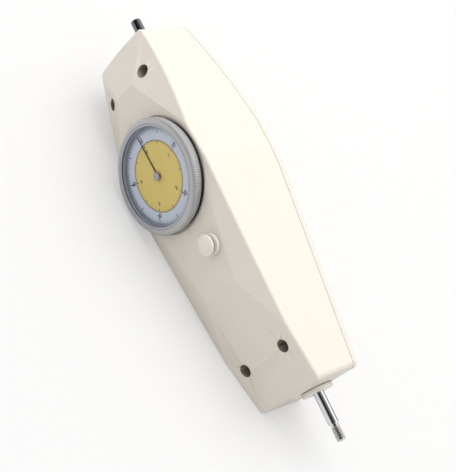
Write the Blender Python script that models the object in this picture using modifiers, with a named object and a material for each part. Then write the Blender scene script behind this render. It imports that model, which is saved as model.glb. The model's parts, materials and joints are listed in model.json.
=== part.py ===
"""Push-pull force gauge.

Body axes: +X to the right of the dial, +Y towards the back, +Z towards the tail, with the rod's axis along Z
and zero at the housing's lower end. The gauge lies on its left side, so an empty turns these axes until that
side is on the floor. Depths called front are measured from the rod's axis towards the dial, along -Y.
All sizes are in metres.
"""

import math

import bmesh
import bpy
from mathutils import Matrix, Vector

MM = 0.001

# Clearances
GAP = 0.3 * MM
SLACK = 0.35 * MM
CLOSE_GAP = 0.5 * MM
OVERRUN = 6.0 * MM

# Housing outline, seen from the front. A rise or a drop is counted from the dial's centre.
DIAL_HEIGHT = 120.0 * MM
HEAD_LENGTH = 70.5 * MM
WIDEST_DROP = 6.8 * MM
BOTTOM_HALF_WIDTH = 22.5 * MM
DIAL_HALF_WIDTH = 29.7 * MM
TOP_HALF_WIDTH = 19.7 * MM
TOP_CURVE_POWER = 2.1
TOP_BOW = 0.9 * MM
BOTTOM_CORNER_RADIUS = 3.2 * MM
TOP_CORNER_RADIUS = 2.6 * MM
EDGE_ROUND = 1.3 * MM
WALL = 2.5 * MM

# Housing depths from the rod's axis
PLATEAU_DEPTH = 28.7 * MM
BOTTOM_FRONT_DEPTH = 18.2 * MM
TOP_FRONT_DEPTH = 19.1 * MM
BOTTOM_BACK_DEPTH = 9.4 * MM
TOP_BACK_DEPTH = 12.2 * MM
PAD_BACK_DEPTH = 19.6 * MM
PAD_DROP = 17.0 * MM
PAD_RISE = 7.0 * MM
LID_RIM = 4.0 * MM

# Flat dial face: a long hexagon with sloping facets round it
KINK_RISE = 10.4 * MM
UPPER_SEGMENT_RISE = 46.8 * MM
UPPER_SEGMENT_HALF_WIDTH = 7.2 * MM
LOWER_SEGMENT_DROP = 62.9 * MM
LOWER_SEGMENT_HALF_WIDTH = 12.2 * MM
LOWER_FACET_END = 29.0 * MM

# Dial
DIAL_RISE = 3.3 * MM
DIAL_THICKNESS = 0.6 * MM
DIAL_LAP = 0.8 * MM
DIAL_OPENING_INSET = 1.5 * MM
HOLDER_HEIGHT = 0.8 * MM

# Bezel, crystal and the seat that they turn on. The bezel's rise is measured from the flat dial face.
BEZEL_MARGIN = 1.4 * MM
BEZEL_RISE = 6.45 * MM
BEZEL_RIM_WIDTH = 4.1 * MM
BEZEL_WALL = 1.7 * MM
BEZEL_LIP = 0.4 * MM
BEZEL_NECK_DEPTH = 0.9 * MM
BEZEL_NECK_RISE = 1.4 * MM
BEZEL_ROUND_WIDTH = 1.9 * MM
BEZEL_ROUND_HEIGHT = 2.1 * MM
BEZEL_STEP_WIDTH = 0.6 * MM
BEZEL_STEP_HEIGHT = 0.4 * MM
BEZEL_CHAMFER = 0.6 * MM
POCKET_CLEARANCE = 0.4 * MM
POCKET_DEPTH = 1.0 * MM
CRYSTAL_THICKNESS = 0.6 * MM
GASKET_HEIGHT = 0.6 * MM
SEAT_WIDTH = 7.3 * MM
SEAT_THICKNESS = 2.0 * MM
SEAT_SCREWS = 3
SEAT_SCREW_INSET = 3.9 * MM
SEAT_SCREW_LENGTH = 2.4 * MM

# Cover screws and their wells
WELL_RADIUS = 3.15 * MM
WELL_DEPTH = 7.0 * MM
UPPER_SCREW_X = 14.9 * MM
UPPER_SCREW_INSET = 21.4 * MM
LOWER_SCREW_X = 15.0 * MM
LOWER_SCREW_HEIGHT = 21.1 * MM
SCREW_RADIUS = 1.5 * MM
SCREW_LENGTH = 14.0 * MM
SCREW_HEAD_RADIUS = 2.7 * MM
SCREW_HEAD_HEIGHT = 2.0 * MM
SCREW_SLOT_LENGTH = 1.6 * MM
SCREW_SLOT_WIDTH = 0.35 * MM
SCREW_SLOT_DEPTH = 1.1 * MM
POST_RADIUS = 4.4 * MM

# Rods
ROD_RADIUS = 2.7 * MM
THREAD_RADIUS = 2.4 * MM
THREAD_DEPTH = 0.35 * MM
THREAD_PITCH = 0.8 * MM
ROD_REACH = 26.9 * MM
THREAD_LENGTH = 8.4 * MM
RELIEF_LENGTH = 1.3 * MM
RELIEF_RADIUS = 1.9 * MM
TAIL_REACH = 16.3 * MM
ROD_CHAMFER = 0.4 * MM
TRAVEL = 10.0 * MM

# Bushes
FRONT_COLLAR_RADIUS = 8.0 * MM
FRONT_COLLAR_HEIGHT = 2.1 * MM
BUSH_RADIUS = 5.0 * MM
TAIL_COLLAR_RADIUS = 6.5 * MM
TAIL_COLLAR_HEIGHT = 1.8 * MM
TAIL_TUBE_LENGTH = 5.0 * MM
COLLAR_ROUND = 0.5 * MM

# Chassis
CHASSIS_BACK = 10.5 * MM
CHASSIS_THICKNESS = 1.5 * MM
CHASSIS_HALF_WIDTH = 19.0 * MM
CHASSIS_DROP = 74.0 * MM
CHASSIS_RISE = 40.0 * MM
FLANGE_THICKNESS = 1.6 * MM
FLANGE_HALF_WIDTH = 12.5 * MM
FLANGE_FRONT = 7.5 * MM
CHASSIS_SCREW_X = 15.0 * MM
CHASSIS_SCREW_DROP = 58.0 * MM
CHASSIS_SCREW_RISE = 30.0 * MM
CHASSIS_SCREW_LENGTH = 3.6 * MM
CHASSIS_BOSS_RADIUS = 3.6 * MM

# Carriage, springs and guide pin
CARRIAGE_LENGTH = 18.0 * MM
CARRIAGE_HALF_WIDTH = 11.0 * MM
CARRIAGE_HALF_DEPTH = 6.0 * MM
SET_SCREW_RADIUS = 1.25 * MM
SET_SCREW_INSET = 4.5 * MM
GUIDE_X = 9.0 * MM
GUIDE_RADIUS = 1.25 * MM
GUIDE_HEAD_RADIUS = 2.4 * MM
GUIDE_HEAD_HEIGHT = 1.0 * MM
GUIDE_OVERHANG = 1.0 * MM
SPRING_RADIUS = 4.9 * MM
SPRING_WIRE = 1.2 * MM
SPRING_TURNS = 8
SPRING_END_TURNS = 1
STOP_COLLAR_RADIUS = 5.0 * MM
STOP_COLLAR_HEIGHT = 4.0 * MM

# Rack and gears
MODULE = 0.5 * MM
RACK_PINION_TEETH = 20
WHEEL_TEETH = 44
CENTRE_TEETH = 14
RACK_TEETH = 18
ADDENDUM = 0.35 * MM
DEDENDUM = 0.62 * MM
BACKLASH = 0.2 * MM
CENTRE_CLEARANCE = 0.12 * MM
FLANK_SLOPE = 0.364
ARBOR_RADIUS = 0.9 * MM
ARBOR_SHOULDER = 2.0 * MM
PINION_BACK = 6.6 * MM
RACK_FRONT = 9.3 * MM
RACK_WIDTH = 4.6 * MM
RACK_END = 0.6 * MM
RACK_SCREW_X = 3.2 * MM
RACK_SCREW_LENGTH = 4.0 * MM
RACK_SCREW_DROP = 4.5 * MM
RACK_SCREW_RISE = 2.25 * MM
RACK_HEAD_RADIUS = 1.2 * MM
RACK_HEAD_HEIGHT = 0.8 * MM
WHEEL_BACK = 14.0 * MM
WHEEL_THICKNESS = 1.0 * MM
WHEEL_HOLES = 5
WHEEL_HOLE_CIRCLE = 6.0 * MM
WHEEL_HOLE_RADIUS = 2.2 * MM
CENTRE_PINION_BACK = 13.0 * MM
CENTRE_PINION_FRONT = 16.2 * MM

# Movement plates and pillars
REAR_PLATE_BACK = 10.8 * MM
PLATE_THICKNESS = 1.2 * MM
REAR_PLATE_HALF_WIDTH = 18.0 * MM
REAR_PLATE_DROP = 38.0 * MM
REAR_PLATE_RISE = 20.0 * MM
FRONT_PLATE_BACK = 19.3 * MM
FRONT_PLATE_HALF_WIDTH = 15.0 * MM
FRONT_PLATE_DROP = 23.0 * MM
FRONT_PLATE_RISE = 18.5 * MM
PLATE_CORNER = 2.5 * MM
PILLAR_RADIUS = 2.2 * MM
PILLAR_BORE = 5.0 * MM
PILLAR_X = 15.3 * MM
LEFT_PILLAR_DROP = 8.0 * MM
LOWER_PILLAR_DROP = 30.0 * MM
UPPER_PILLAR_RISE = 16.0 * MM
RIVETED_RADIUS = 1.6 * MM
RIVET_HEIGHT = 0.5 * MM
LOWER_RIVETED_X = 12.0 * MM
LOWER_RIVETED_DROP = 19.5 * MM
RIGHT_RIVETED_X = 11.5 * MM
RIGHT_RIVETED_RISE = 15.2 * MM
LEFT_RIVETED_X = 11.0 * MM
LEFT_RIVETED_RISE = 14.4 * MM
SMALL_SCREW_RADIUS = 0.8 * MM
SMALL_HEAD_RADIUS = 1.5 * MM
SMALL_HEAD_HEIGHT = 1.0 * MM

# Pointer
POINTER_THICKNESS = 0.35 * MM
POINTER_MARGIN = 1.6 * MM
POINTER_ROOT = 0.75 * MM
POINTER_TIP = 0.15 * MM
POINTER_BOSS_RADIUS = 1.7 * MM
HUB_RADIUS = 1.9 * MM
HUB_HEIGHT = 0.6 * MM
HUB_ROUND = 0.25 * MM

# Hairspring
HAIRSPRING_BACK = 17.6 * MM
HAIRSPRING_HEIGHT = 0.6 * MM
HAIRSPRING_INNER = 2.2 * MM
HAIRSPRING_PITCH = 0.9 * MM
HAIRSPRING_STRIP = 0.18 * MM
HAIRSPRING_TURNS = 4
STUD_RADIUS = 0.6 * MM
STUD_LENGTH = 2.4 * MM

# Button. Its rises and drops are measured from the flat dial face, and its cam's depths from the rod's axis.
BUTTON_X = 9.6 * MM
BUTTON_DROP = 42.4 * MM
CAP_RADIUS = 5.1 * MM
CAP_THICKNESS = 1.8 * MM
CAP_RISE = 5.5 * MM
CAP_CROWN = 0.35 * MM
CAP_SOCKET_DEPTH = 0.6 * MM
NECK_RADIUS = 3.0 * MM
NECK_BORE = 2.3 * MM
NECK_LENGTH = 2.9 * MM
STEM_RADIUS = 1.2 * MM
BUTTON_COLLAR_RADIUS = 5.3 * MM
BUTTON_COLLAR_RISE = 1.7 * MM
BUTTON_TUBE_RADIUS = 3.9 * MM
BUTTON_TUBE_LENGTH = 4.5 * MM
BUTTON_FLOOR_DROP = 1.7 * MM
BUTTON_FLOOR_THICKNESS = 1.4 * MM
BUTTON_SPRING_RADIUS = 1.75 * MM
BUTTON_SPRING_WIRE = 0.4 * MM
BUTTON_SPRING_TURNS = 3
COLLAR_NUT_RADIUS = 6.0 * MM
COLLAR_NUT_HEIGHT = 1.4 * MM
CAM_RADIUS = 2.6 * MM
CAM_TIP_RADIUS = 0.5 * MM
CAM_CONE_FRONT = 17.2 * MM
CAM_BACK = 13.2 * MM

# Hold lever
LEVER_BACK = 13.9 * MM
LEVER_THICKNESS = 1.2 * MM
LEVER_ARM_WIDTH = 1.92 * MM
LEVER_PIVOT_X = 0.06 * MM
LEVER_PIVOT_DROP = 27.5 * MM
LEVER_ARM = 9.0 * MM
LEVER_BOSS_RADIUS = 2.4 * MM
LEVER_PIN_RADIUS = 0.9 * MM
LEVER_FOOT_RADIUS = 1.0 * MM
LEVER_HEAD_HEIGHT = 0.8 * MM
LEVER_HEAD_RADIUS = 1.7 * MM

# Stand inserts in the back
INSERT_X = 18.0 * MM
INSERT_RADIUS = 2.3 * MM
INSERT_BORE = 1.6 * MM
INSERT_LENGTH = 5.0 * MM
INSERT_SINK = 0.2 * MM
INSERT_BOSS_RADIUS = 4.2 * MM

# How finely round shapes are drawn
WIDE_STEPS = 40
ROUND_STEPS = 20
SMALL_STEPS = 12
FEW_STEPS = 8
ARC_STEPS = 5
SIDE_STEPS = 8
EDGE_SEGMENTS = 3
COIL_STEPS = 8
COIL_RESOLUTION = 1
HAIRSPRING_STEPS = 14
MERGE = 0.001 * MM
SAME_PLANE = math.radians(0.02)
FLAT_ANGLE = math.radians(0.7)
BEVEL_ANGLE = math.radians(38)
SHARP = math.radians(30)

# Turns that point a shape's own Z towards the dial, along X, or sideways with its outline as (depth, height)
UNMOVED = (0.0, 0.0, 0.0)
FACING = (math.pi / 2, 0.0, 0.0)
SIDEWAYS = (0.0, math.pi / 2, 0.0)
ACROSS = Matrix(((0, 0, 1), (1, 0, 0), (0, 1, 0))).to_euler()

# Places worked out from the sizes above
HOUSING_LENGTH = DIAL_HEIGHT + HEAD_LENGTH
WIDEST_HEIGHT = DIAL_HEIGHT - WIDEST_DROP
PAD_START = DIAL_HEIGHT - PAD_DROP
PAD_END = DIAL_HEIGHT + PAD_RISE
KINK_HEIGHT = DIAL_HEIGHT + KINK_RISE
UPPER_SEGMENT_HEIGHT = DIAL_HEIGHT + UPPER_SEGMENT_RISE
LOWER_SEGMENT_HEIGHT = DIAL_HEIGHT - LOWER_SEGMENT_DROP
UPPER_SCREW_HEIGHT = HOUSING_LENGTH - UPPER_SCREW_INSET
SCREW_PLACES = (
    (LOWER_SCREW_X, LOWER_SCREW_HEIGHT),
    (-LOWER_SCREW_X, LOWER_SCREW_HEIGHT),
    (UPPER_SCREW_X, UPPER_SCREW_HEIGHT),
    (-UPPER_SCREW_X, UPPER_SCREW_HEIGHT),
)
TILT = math.atan((DIAL_HALF_WIDTH - BOTTOM_HALF_WIDTH) / WIDEST_HEIGHT)

DIAL_FRONT = PLATEAU_DEPTH + DIAL_RISE
POCKET_FLOOR = PLATEAU_DEPTH - POCKET_DEPTH
BEZEL_RADIUS = DIAL_HALF_WIDTH - BEZEL_MARGIN
BEZEL_NECK_RADIUS = BEZEL_RADIUS - BEZEL_NECK_DEPTH
BEZEL_BORE = BEZEL_RADIUS - BEZEL_WALL
BEZEL_OPENING = BEZEL_RADIUS - BEZEL_RIM_WIDTH
DIAL_RADIUS = BEZEL_OPENING + DIAL_LAP
POINTER_LENGTH = BEZEL_OPENING - POINTER_MARGIN
SEAT_OUTER = BEZEL_BORE - GAP
SEAT_INNER = SEAT_OUTER - SEAT_WIDTH
SEAT_SCREW_CIRCLE = SEAT_OUTER - SEAT_SCREW_INSET
DIAL_OPENING = SEAT_INNER - DIAL_OPENING_INSET
BEZEL_FRONT = PLATEAU_DEPTH + BEZEL_RISE
BEZEL_BASE = POCKET_FLOOR + GAP
SEAT_BACK = POCKET_FLOOR + GAP
SEAT_FRONT = SEAT_BACK + SEAT_THICKNESS
SEAT_SCREW_BACK = SEAT_FRONT - SMALL_HEAD_HEIGHT - SEAT_SCREW_LENGTH
POINTER_BACK = DIAL_FRONT + GAP
POINTER_FRONT = POINTER_BACK + POINTER_THICKNESS
ARBOR_FRONT = POINTER_FRONT + HUB_HEIGHT / 2

CHASSIS_START = DIAL_HEIGHT - CHASSIS_DROP
CHASSIS_END = DIAL_HEIGHT + CHASSIS_RISE
CHASSIS_SCREWS = (
    (CHASSIS_SCREW_X, DIAL_HEIGHT - CHASSIS_SCREW_DROP),
    (-CHASSIS_SCREW_X, DIAL_HEIGHT - CHASSIS_SCREW_DROP),
    (0.0, DIAL_HEIGHT + CHASSIS_SCREW_RISE),
)
LONG_PILLARS = (
    (-PILLAR_X, DIAL_HEIGHT - LEFT_PILLAR_DROP),
    (PILLAR_X, DIAL_HEIGHT - LOWER_PILLAR_DROP),
    (PILLAR_X, DIAL_HEIGHT + UPPER_PILLAR_RISE),
)
RIVETED_PILLARS = (
    (LOWER_RIVETED_X, DIAL_HEIGHT - LOWER_RIVETED_DROP),
    (RIGHT_RIVETED_X, DIAL_HEIGHT + RIGHT_RIVETED_RISE),
    (-LEFT_RIVETED_X, DIAL_HEIGHT + LEFT_RIVETED_RISE),
)
CARRIAGE_MIDDLE = (CHASSIS_START + CHASSIS_END) / 2
CARRIAGE_BOTTOM = CARRIAGE_MIDDLE - CARRIAGE_LENGTH / 2
CARRIAGE_TOP = CARRIAGE_MIDDLE + CARRIAGE_LENGTH / 2
STOP_COLLAR_TOP = CHASSIS_START - TRAVEL - SLACK
STOP_COLLAR_BOTTOM = STOP_COLLAR_TOP - STOP_COLLAR_HEIGHT
FRONT_BUSH_TOP = STOP_COLLAR_BOTTOM - TRAVEL - SLACK

RACK_PINION_RADIUS = MODULE * RACK_PINION_TEETH / 2
WHEEL_RADIUS = MODULE * WHEEL_TEETH / 2
CENTRE_RADIUS = MODULE * CENTRE_TEETH / 2
WHEEL_X = -(RACK_PINION_RADIUS + CENTRE_CLEARANCE)
GEAR_DISTANCE = WHEEL_RADIUS + CENTRE_RADIUS + CENTRE_CLEARANCE
WHEEL_HEIGHT = DIAL_HEIGHT - math.sqrt(GEAR_DISTANCE**2 - WHEEL_X**2)
RACK_SCREW_BACK = RACK_FRONT - RACK_SCREW_LENGTH - GAP
RACK_SCREW_HEIGHTS = (WHEEL_HEIGHT - RACK_SCREW_DROP, WHEEL_HEIGHT + RACK_SCREW_RISE)

BUTTON_HEIGHT = DIAL_HEIGHT - BUTTON_DROP
CAP_FRONT = PLATEAU_DEPTH + CAP_RISE
CAP_BACK = CAP_FRONT - CAP_THICKNESS
CAP_SOCKET = CAP_BACK + CAP_SOCKET_DEPTH
BUTTON_COLLAR_FRONT = PLATEAU_DEPTH + BUTTON_COLLAR_RISE
BUTTON_TUBE_BACK = PLATEAU_DEPTH - BUTTON_TUBE_LENGTH
BUTTON_FLOOR_FRONT = PLATEAU_DEPTH - BUTTON_FLOOR_DROP
BUTTON_FLOOR_BACK = BUTTON_FLOOR_FRONT - BUTTON_FLOOR_THICKNESS
CAM_FRONT = BUTTON_FLOOR_BACK - GAP
LEVER_PIVOT_HEIGHT = DIAL_HEIGHT - LEVER_PIVOT_DROP
INSERT_HEIGHT = (PAD_START + PAD_END) / 2

TAIL_COLLAR_LOW = HOUSING_LENGTH + TOP_BOW + GAP
TAIL_END = HOUSING_LENGTH + TOP_BOW + TAIL_REACH
ROD_TIP_RADIUS = THREAD_RADIUS - THREAD_DEPTH - ROD_CHAMFER
TAIL_TIP_RADIUS = ROD_RADIUS - ROD_CHAMFER
ROD_END_ALONG = ROD_REACH * math.cos(TILT) + ROD_TIP_RADIUS * math.sin(TILT)
TAIL_END_ALONG = TAIL_END * math.cos(TILT) + TAIL_TIP_RADIUS * math.sin(TILT)
MIDDLE_ALONG = (ROD_END_ALONG - TAIL_END_ALONG) / 2
MIDDLE_DEPTH = (BEZEL_FRONT - PAD_BACK_DEPTH) / 2
REST_HEIGHT = BOTTOM_HALF_WIDTH * math.cos(TILT)

# Each axis empty's place in body axes
PARENTS = {}


def clear_scene():
    for item in list(bpy.data.objects):
        bpy.data.objects.remove(item, do_unlink=True)


def new_collection(name):
    group = bpy.data.collections.new(name)
    bpy.context.scene.collection.children.link(group)
    return group


def material(name, colour, roughness, metallic=0.0, alpha=1.0):
    made = bpy.data.materials.new(name)
    made.use_nodes = True
    shader = made.node_tree.nodes["Principled BSDF"]
    shader.inputs["Base Color"].default_value = (*colour, 1.0)
    shader.inputs["Roughness"].default_value = roughness
    shader.inputs["Metallic"].default_value = metallic
    shader.inputs["Alpha"].default_value = alpha
    return made


def axis_empty(name, place=UNMOVED, root=None):
    """An empty on a joint's axis. PARENTS keeps its place in body axes."""
    empty = bpy.data.objects.new(name, None)
    PARTS.objects.link(empty)
    empty.location = Vector(place)
    empty.parent = root
    PARENTS[empty.name] = Vector(place) if root else Vector()
    return empty


def put(name, mesh, finish, parent, place=UNMOVED, turn=UNMOVED):
    """A named sub-part at a place in body axes."""
    item = bpy.data.objects.new(name, mesh)
    PARTS.objects.link(item)
    if finish:
        mesh.materials.append(finish)
    item.parent = parent
    item.location = Vector(place) - PARENTS[parent.name]
    item.rotation_euler = turn
    return item


def facing_place(x, height):
    """A place on the rod's depth, from which FACING counts towards the dial."""
    return (x, 0.0, height)


# Mesh work


def rebuilt(mesh, change):
    """Runs one change on a mesh through a bmesh."""
    shape = bmesh.new()
    shape.from_mesh(mesh)
    change(shape)
    shape.to_mesh(mesh)
    shape.free()


def weld(shape):
    bmesh.ops.remove_doubles(shape, verts=shape.verts, dist=MERGE)


def triangulate(shape):
    bmesh.ops.triangulate(shape, faces=shape.faces)


def tidy_faces(shape):
    weld(shape)
    bmesh.ops.dissolve_limit(shape, angle_limit=SAME_PLANE, verts=shape.verts, edges=shape.edges)
    triangulate(shape)


def weld_outwards(shape):
    weld(shape)
    bmesh.ops.recalc_face_normals(shape, faces=shape.faces)


def smooth(mesh):
    mesh.shade_smooth()
    mesh.set_sharp_from_angle(angle=SHARP)


def evaluated_mesh(item):
    graph = bpy.context.evaluated_depsgraph_get()
    return bpy.data.meshes.new_from_object(item.evaluated_get(graph))


def baked(item, smoothed=False):
    """Puts the mesh that the modifiers make in place of the one they work on."""
    mesh = evaluated_mesh(item)
    item.modifiers.clear()
    item.data = mesh
    rebuilt(mesh, tidy_faces)
    if smoothed:
        smooth(mesh)
    return item


def combined(item, other, operation):
    """Cuts or joins one closed mesh with another, which is used up."""
    other.hide_render = True
    other.display_type = "WIRE"
    step = item.modifiers.new(operation.title(), "BOOLEAN")
    step.operation = operation
    step.object = other
    baked(item)
    bpy.data.objects.remove(other)


def cut(item, *others):
    for other in others:
        combined(item, other, "DIFFERENCE")


def join(item, *others):
    for other in others:
        combined(item, other, "UNION")


# Simple shapes


def turned(name, profile, finish, parent, place=UNMOVED, turn=UNMOVED, steps=ROUND_STEPS, ring=False):
    """A profile of (radius, height) points, down the outer side, turned about its own Z."""
    mesh = bpy.data.meshes.new(name)
    points = [(radius, 0.0, height) for radius, height in profile]
    edges = [(index, index + 1) for index in range(len(points) - 1)]
    if ring:
        edges.append((len(points) - 1, 0))
    mesh.from_pydata(points, edges, [])
    item = put(name, mesh, finish, parent, place, turn)
    screw = item.modifiers.new("Turn", "SCREW")
    screw.steps = steps
    screw.render_steps = steps
    screw.use_merge_vertices = True
    screw.merge_threshold = MERGE
    screw.use_smooth_shade = False
    return baked(item, smoothed=True)


def disc_profile(radius, low, high):
    return [(0.0, high), (radius, high), (radius, low), (0.0, low)]


def ring_profile(outer, inner, low, high):
    return [(outer, high), (outer, low), (inner, low), (inner, high)]


def disc(name, radius, low, high, finish, parent, place, steps=ROUND_STEPS):
    """A disc that faces the dial, from one depth to another."""
    return turned(name, disc_profile(radius, low, high), finish, parent, place, FACING, steps)


def ring(name, outer, inner, low, high, finish, parent, place, steps=ROUND_STEPS):
    """A flat ring that faces the dial, from one depth to another."""
    profile = ring_profile(outer, inner, low, high)
    return turned(name, profile, finish, parent, place, FACING, steps, ring=True)


def drill(radius, low, high, x, height, steps=SMALL_STEPS):
    """A round cutter that faces the dial, from one depth to another."""
    return disc("drill", radius, low, high, None, GAUGE, facing_place(x, height), steps)


def long_drill(radius, low, high, x=0.0, steps=ROUND_STEPS):
    """A round cutter along the rod, from one height to another."""
    return turned("long_drill", disc_profile(radius, low, high), None, GAUGE, (x, 0.0, 0.0), steps=steps)


def block(name, low, high, finish, parent):
    """A box between two corners in body axes."""
    low = Vector(low)
    high = Vector(high)
    mesh = bpy.data.meshes.new(name)
    shape = bmesh.new()
    bmesh.ops.create_cube(shape, size=1.0)
    bmesh.ops.scale(shape, vec=high - low, verts=shape.verts)
    shape.to_mesh(mesh)
    shape.free()
    return put(name, mesh, finish, parent, (low + high) / 2)


def flat(name, outlines, low, high, finish, parent, place=UNMOVED, turn=FACING):
    """Closed outlines filled flat, holes included, and given a thickness from low to high."""
    curve = bpy.data.curves.new(name, "CURVE")
    curve.dimensions = "2D"
    curve.fill_mode = "BOTH"
    curve.extrude = (high - low) / 2
    for outline in outlines:
        spline = curve.splines.new("POLY")
        spline.points.add(len(outline) - 1)
        for point, (across, up) in zip(spline.points, outline):
            point.co = (across, up, 0.0, 1.0)
        spline.use_cyclic_u = True
    mesh = mesh_of_curve(name, curve)
    mesh.transform(Matrix.Translation((0.0, 0.0, (low + high) / 2)))
    return put(name, mesh, finish, parent, place, turn)


def mesh_of_curve(name, curve):
    """The welded mesh of a curve, which is used up."""
    item = bpy.data.objects.new(name, curve)
    PARTS.objects.link(item)
    mesh = evaluated_mesh(item)
    bpy.data.objects.remove(item)
    bpy.data.curves.remove(curve)
    mesh.materials.clear()
    mesh.name = name
    rebuilt(mesh, weld_outwards)
    return mesh


def wire(name, points, radius, finish, parent, resolution):
    """A round wire through points in body axes."""
    curve = bpy.data.curves.new(name, "CURVE")
    curve.dimensions = "3D"
    curve.bevel_depth = radius
    curve.bevel_resolution = resolution
    curve.use_fill_caps = True
    spline = curve.splines.new("POLY")
    spline.points.add(len(points) - 1)
    for point, place in zip(spline.points, points):
        point.co = (*place, 1.0)
    mesh = mesh_of_curve(name, curve)
    smooth(mesh)
    return put(name, mesh, finish, parent)


# Outlines


def arc(centre, radius, start, end, steps):
    """Points round part of a circle, from one angle to another, both ends included."""
    points = []
    for step in range(steps + 1):
        angle = start + (end - start) * step / steps
        points.append((centre[0] + radius * math.cos(angle), centre[1] + radius * math.sin(angle)))
    return points


def circle_at(radius, x, height, steps=SMALL_STEPS):
    return arc((x, height), radius, 0.0, math.tau, steps)[:-1]


def rounded_rectangle(half, low, high, corner):
    quarter = math.pi / 2
    points = arc((half - corner, low + corner), corner, -quarter, 0.0, ARC_STEPS - 1)
    points += arc((half - corner, high - corner), corner, 0.0, quarter, ARC_STEPS - 1)
    points += arc((-half + corner, high - corner), corner, quarter, math.pi, ARC_STEPS - 1)
    points += arc((-half + corner, low + corner), corner, math.pi, math.pi + quarter, ARC_STEPS - 1)
    return points


# Housing form


def half_width(height):
    if height < WIDEST_HEIGHT:
        share = height / WIDEST_HEIGHT
        return BOTTOM_HALF_WIDTH + (DIAL_HALF_WIDTH - BOTTOM_HALF_WIDTH) * share
    share = (height - WIDEST_HEIGHT) / (HOUSING_LENGTH - WIDEST_HEIGHT)
    return DIAL_HALF_WIDTH - (DIAL_HALF_WIDTH - TOP_HALF_WIDTH) * share**TOP_CURVE_POWER


def bottom_facet(height):
    share = height / LOWER_SEGMENT_HEIGHT
    return BOTTOM_FRONT_DEPTH + (PLATEAU_DEPTH - BOTTOM_FRONT_DEPTH) * share


def top_facet(height):
    share = (HOUSING_LENGTH - height) / (HOUSING_LENGTH - UPPER_SEGMENT_HEIGHT)
    return TOP_FRONT_DEPTH + (PLATEAU_DEPTH - TOP_FRONT_DEPTH) * share


def plane_through(first, second, third):
    """The depth at any (x, height) on the plane through three (x, depth, height) points."""
    first, second, third = Vector(first), Vector(second), Vector(third)
    normal = (second - first).cross(third - first)

    def depth(x, height):
        return first.y - (normal.x * (x - first.x) + normal.z * (height - first.z)) / normal.y

    return depth


def side_facets():
    kink = (half_width(KINK_HEIGHT), PLATEAU_DEPTH, KINK_HEIGHT)
    lower = (LOWER_SEGMENT_HALF_WIDTH, PLATEAU_DEPTH, LOWER_SEGMENT_HEIGHT)
    lower_end = (half_width(LOWER_FACET_END), bottom_facet(LOWER_FACET_END), LOWER_FACET_END)
    upper = (UPPER_SEGMENT_HALF_WIDTH, PLATEAU_DEPTH, UPPER_SEGMENT_HEIGHT)
    corner = (TOP_HALF_WIDTH, TOP_FRONT_DEPTH, HOUSING_LENGTH)
    return plane_through(kink, lower, lower_end), plane_through(kink, upper, corner)


LOWER_SIDE_FACET, UPPER_SIDE_FACET = side_facets()


def front_depth(x, height):
    x = abs(x)
    side = LOWER_SIDE_FACET(x, height) if height < KINK_HEIGHT else UPPER_SIDE_FACET(x, height)
    return min(PLATEAU_DEPTH, bottom_facet(height), top_facet(height), side)


def back_depth(height):
    if height < PAD_START:
        share = height / PAD_START
        return BOTTOM_BACK_DEPTH + (PAD_BACK_DEPTH - BOTTOM_BACK_DEPTH) * share
    if height < PAD_END:
        return PAD_BACK_DEPTH
    share = (height - PAD_END) / (HOUSING_LENGTH - PAD_END)
    return PAD_BACK_DEPTH - (PAD_BACK_DEPTH - TOP_BACK_DEPTH) * share


def half_outline(inset):
    """The right half of the outline seen from the front, as (x, height) points, drawn in by inset."""
    points = [(0.0, inset)]
    radius = BOTTOM_CORNER_RADIUS - inset if BOTTOM_CORNER_RADIUS > inset else 0.0
    centre = (half_width(BOTTOM_CORNER_RADIUS) - inset - radius, inset + radius)
    points += arc(centre, radius, -math.pi / 2, 0.0, ARC_STEPS)
    for height in (LOWER_FACET_END, LOWER_SEGMENT_HEIGHT, PAD_START, WIDEST_HEIGHT, PAD_END, KINK_HEIGHT):
        points.append((half_width(height) - inset, height))
    top = HOUSING_LENGTH - TOP_CORNER_RADIUS
    for step in range(1, SIDE_STEPS + 1):
        height = KINK_HEIGHT + (top - KINK_HEIGHT) * step / SIDE_STEPS
        height = min(height, HOUSING_LENGTH - inset - TOP_CORNER_RADIUS / 2)
        points.append((half_width(height) - inset, height))
    corner = half_width(top) - inset - TOP_CORNER_RADIUS / 2
    points.append((corner, HOUSING_LENGTH - inset))
    points.append((0.0, HOUSING_LENGTH + TOP_BOW - inset))
    return points


def housing_form(name, inset, finish, parent):
    """The whole faceted body as one convex solid, drawn in by inset on every side."""
    shape = bmesh.new()
    ridge = [
        (half_width(KINK_HEIGHT) - inset, KINK_HEIGHT),
        (UPPER_SEGMENT_HALF_WIDTH, UPPER_SEGMENT_HEIGHT),
        (LOWER_SEGMENT_HALF_WIDTH, LOWER_SEGMENT_HEIGHT),
    ]
    for x, height in half_outline(inset) + ridge:
        for side in (x, -x):
            limit = max(0.0, min(height, HOUSING_LENGTH))
            shape.verts.new((side, -(front_depth(side, limit) - inset), height))
            shape.verts.new((side, back_depth(limit) - inset, height))
    weld(shape)
    hull = bmesh.ops.convex_hull(shape, input=shape.verts)
    spare = hull["geom_interior"] + hull["geom_unused"]
    loose = {item for item in spare if isinstance(item, bmesh.types.BMVert)}
    bmesh.ops.delete(shape, geom=list(loose), context="VERTS")
    bmesh.ops.dissolve_limit(shape, angle_limit=FLAT_ANGLE, verts=shape.verts, edges=shape.edges)
    bmesh.ops.recalc_face_normals(shape, faces=shape.faces)
    mesh = bpy.data.meshes.new(name)
    shape.to_mesh(mesh)
    shape.free()
    return put(name, mesh, finish, parent)


def housing_cutter(inset):
    """The faceted body as a cutter, drawn in by inset."""
    item = housing_form("housing_cutter", inset, None, GAUGE)
    rebuilt(item.data, triangulate)
    return item


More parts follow.
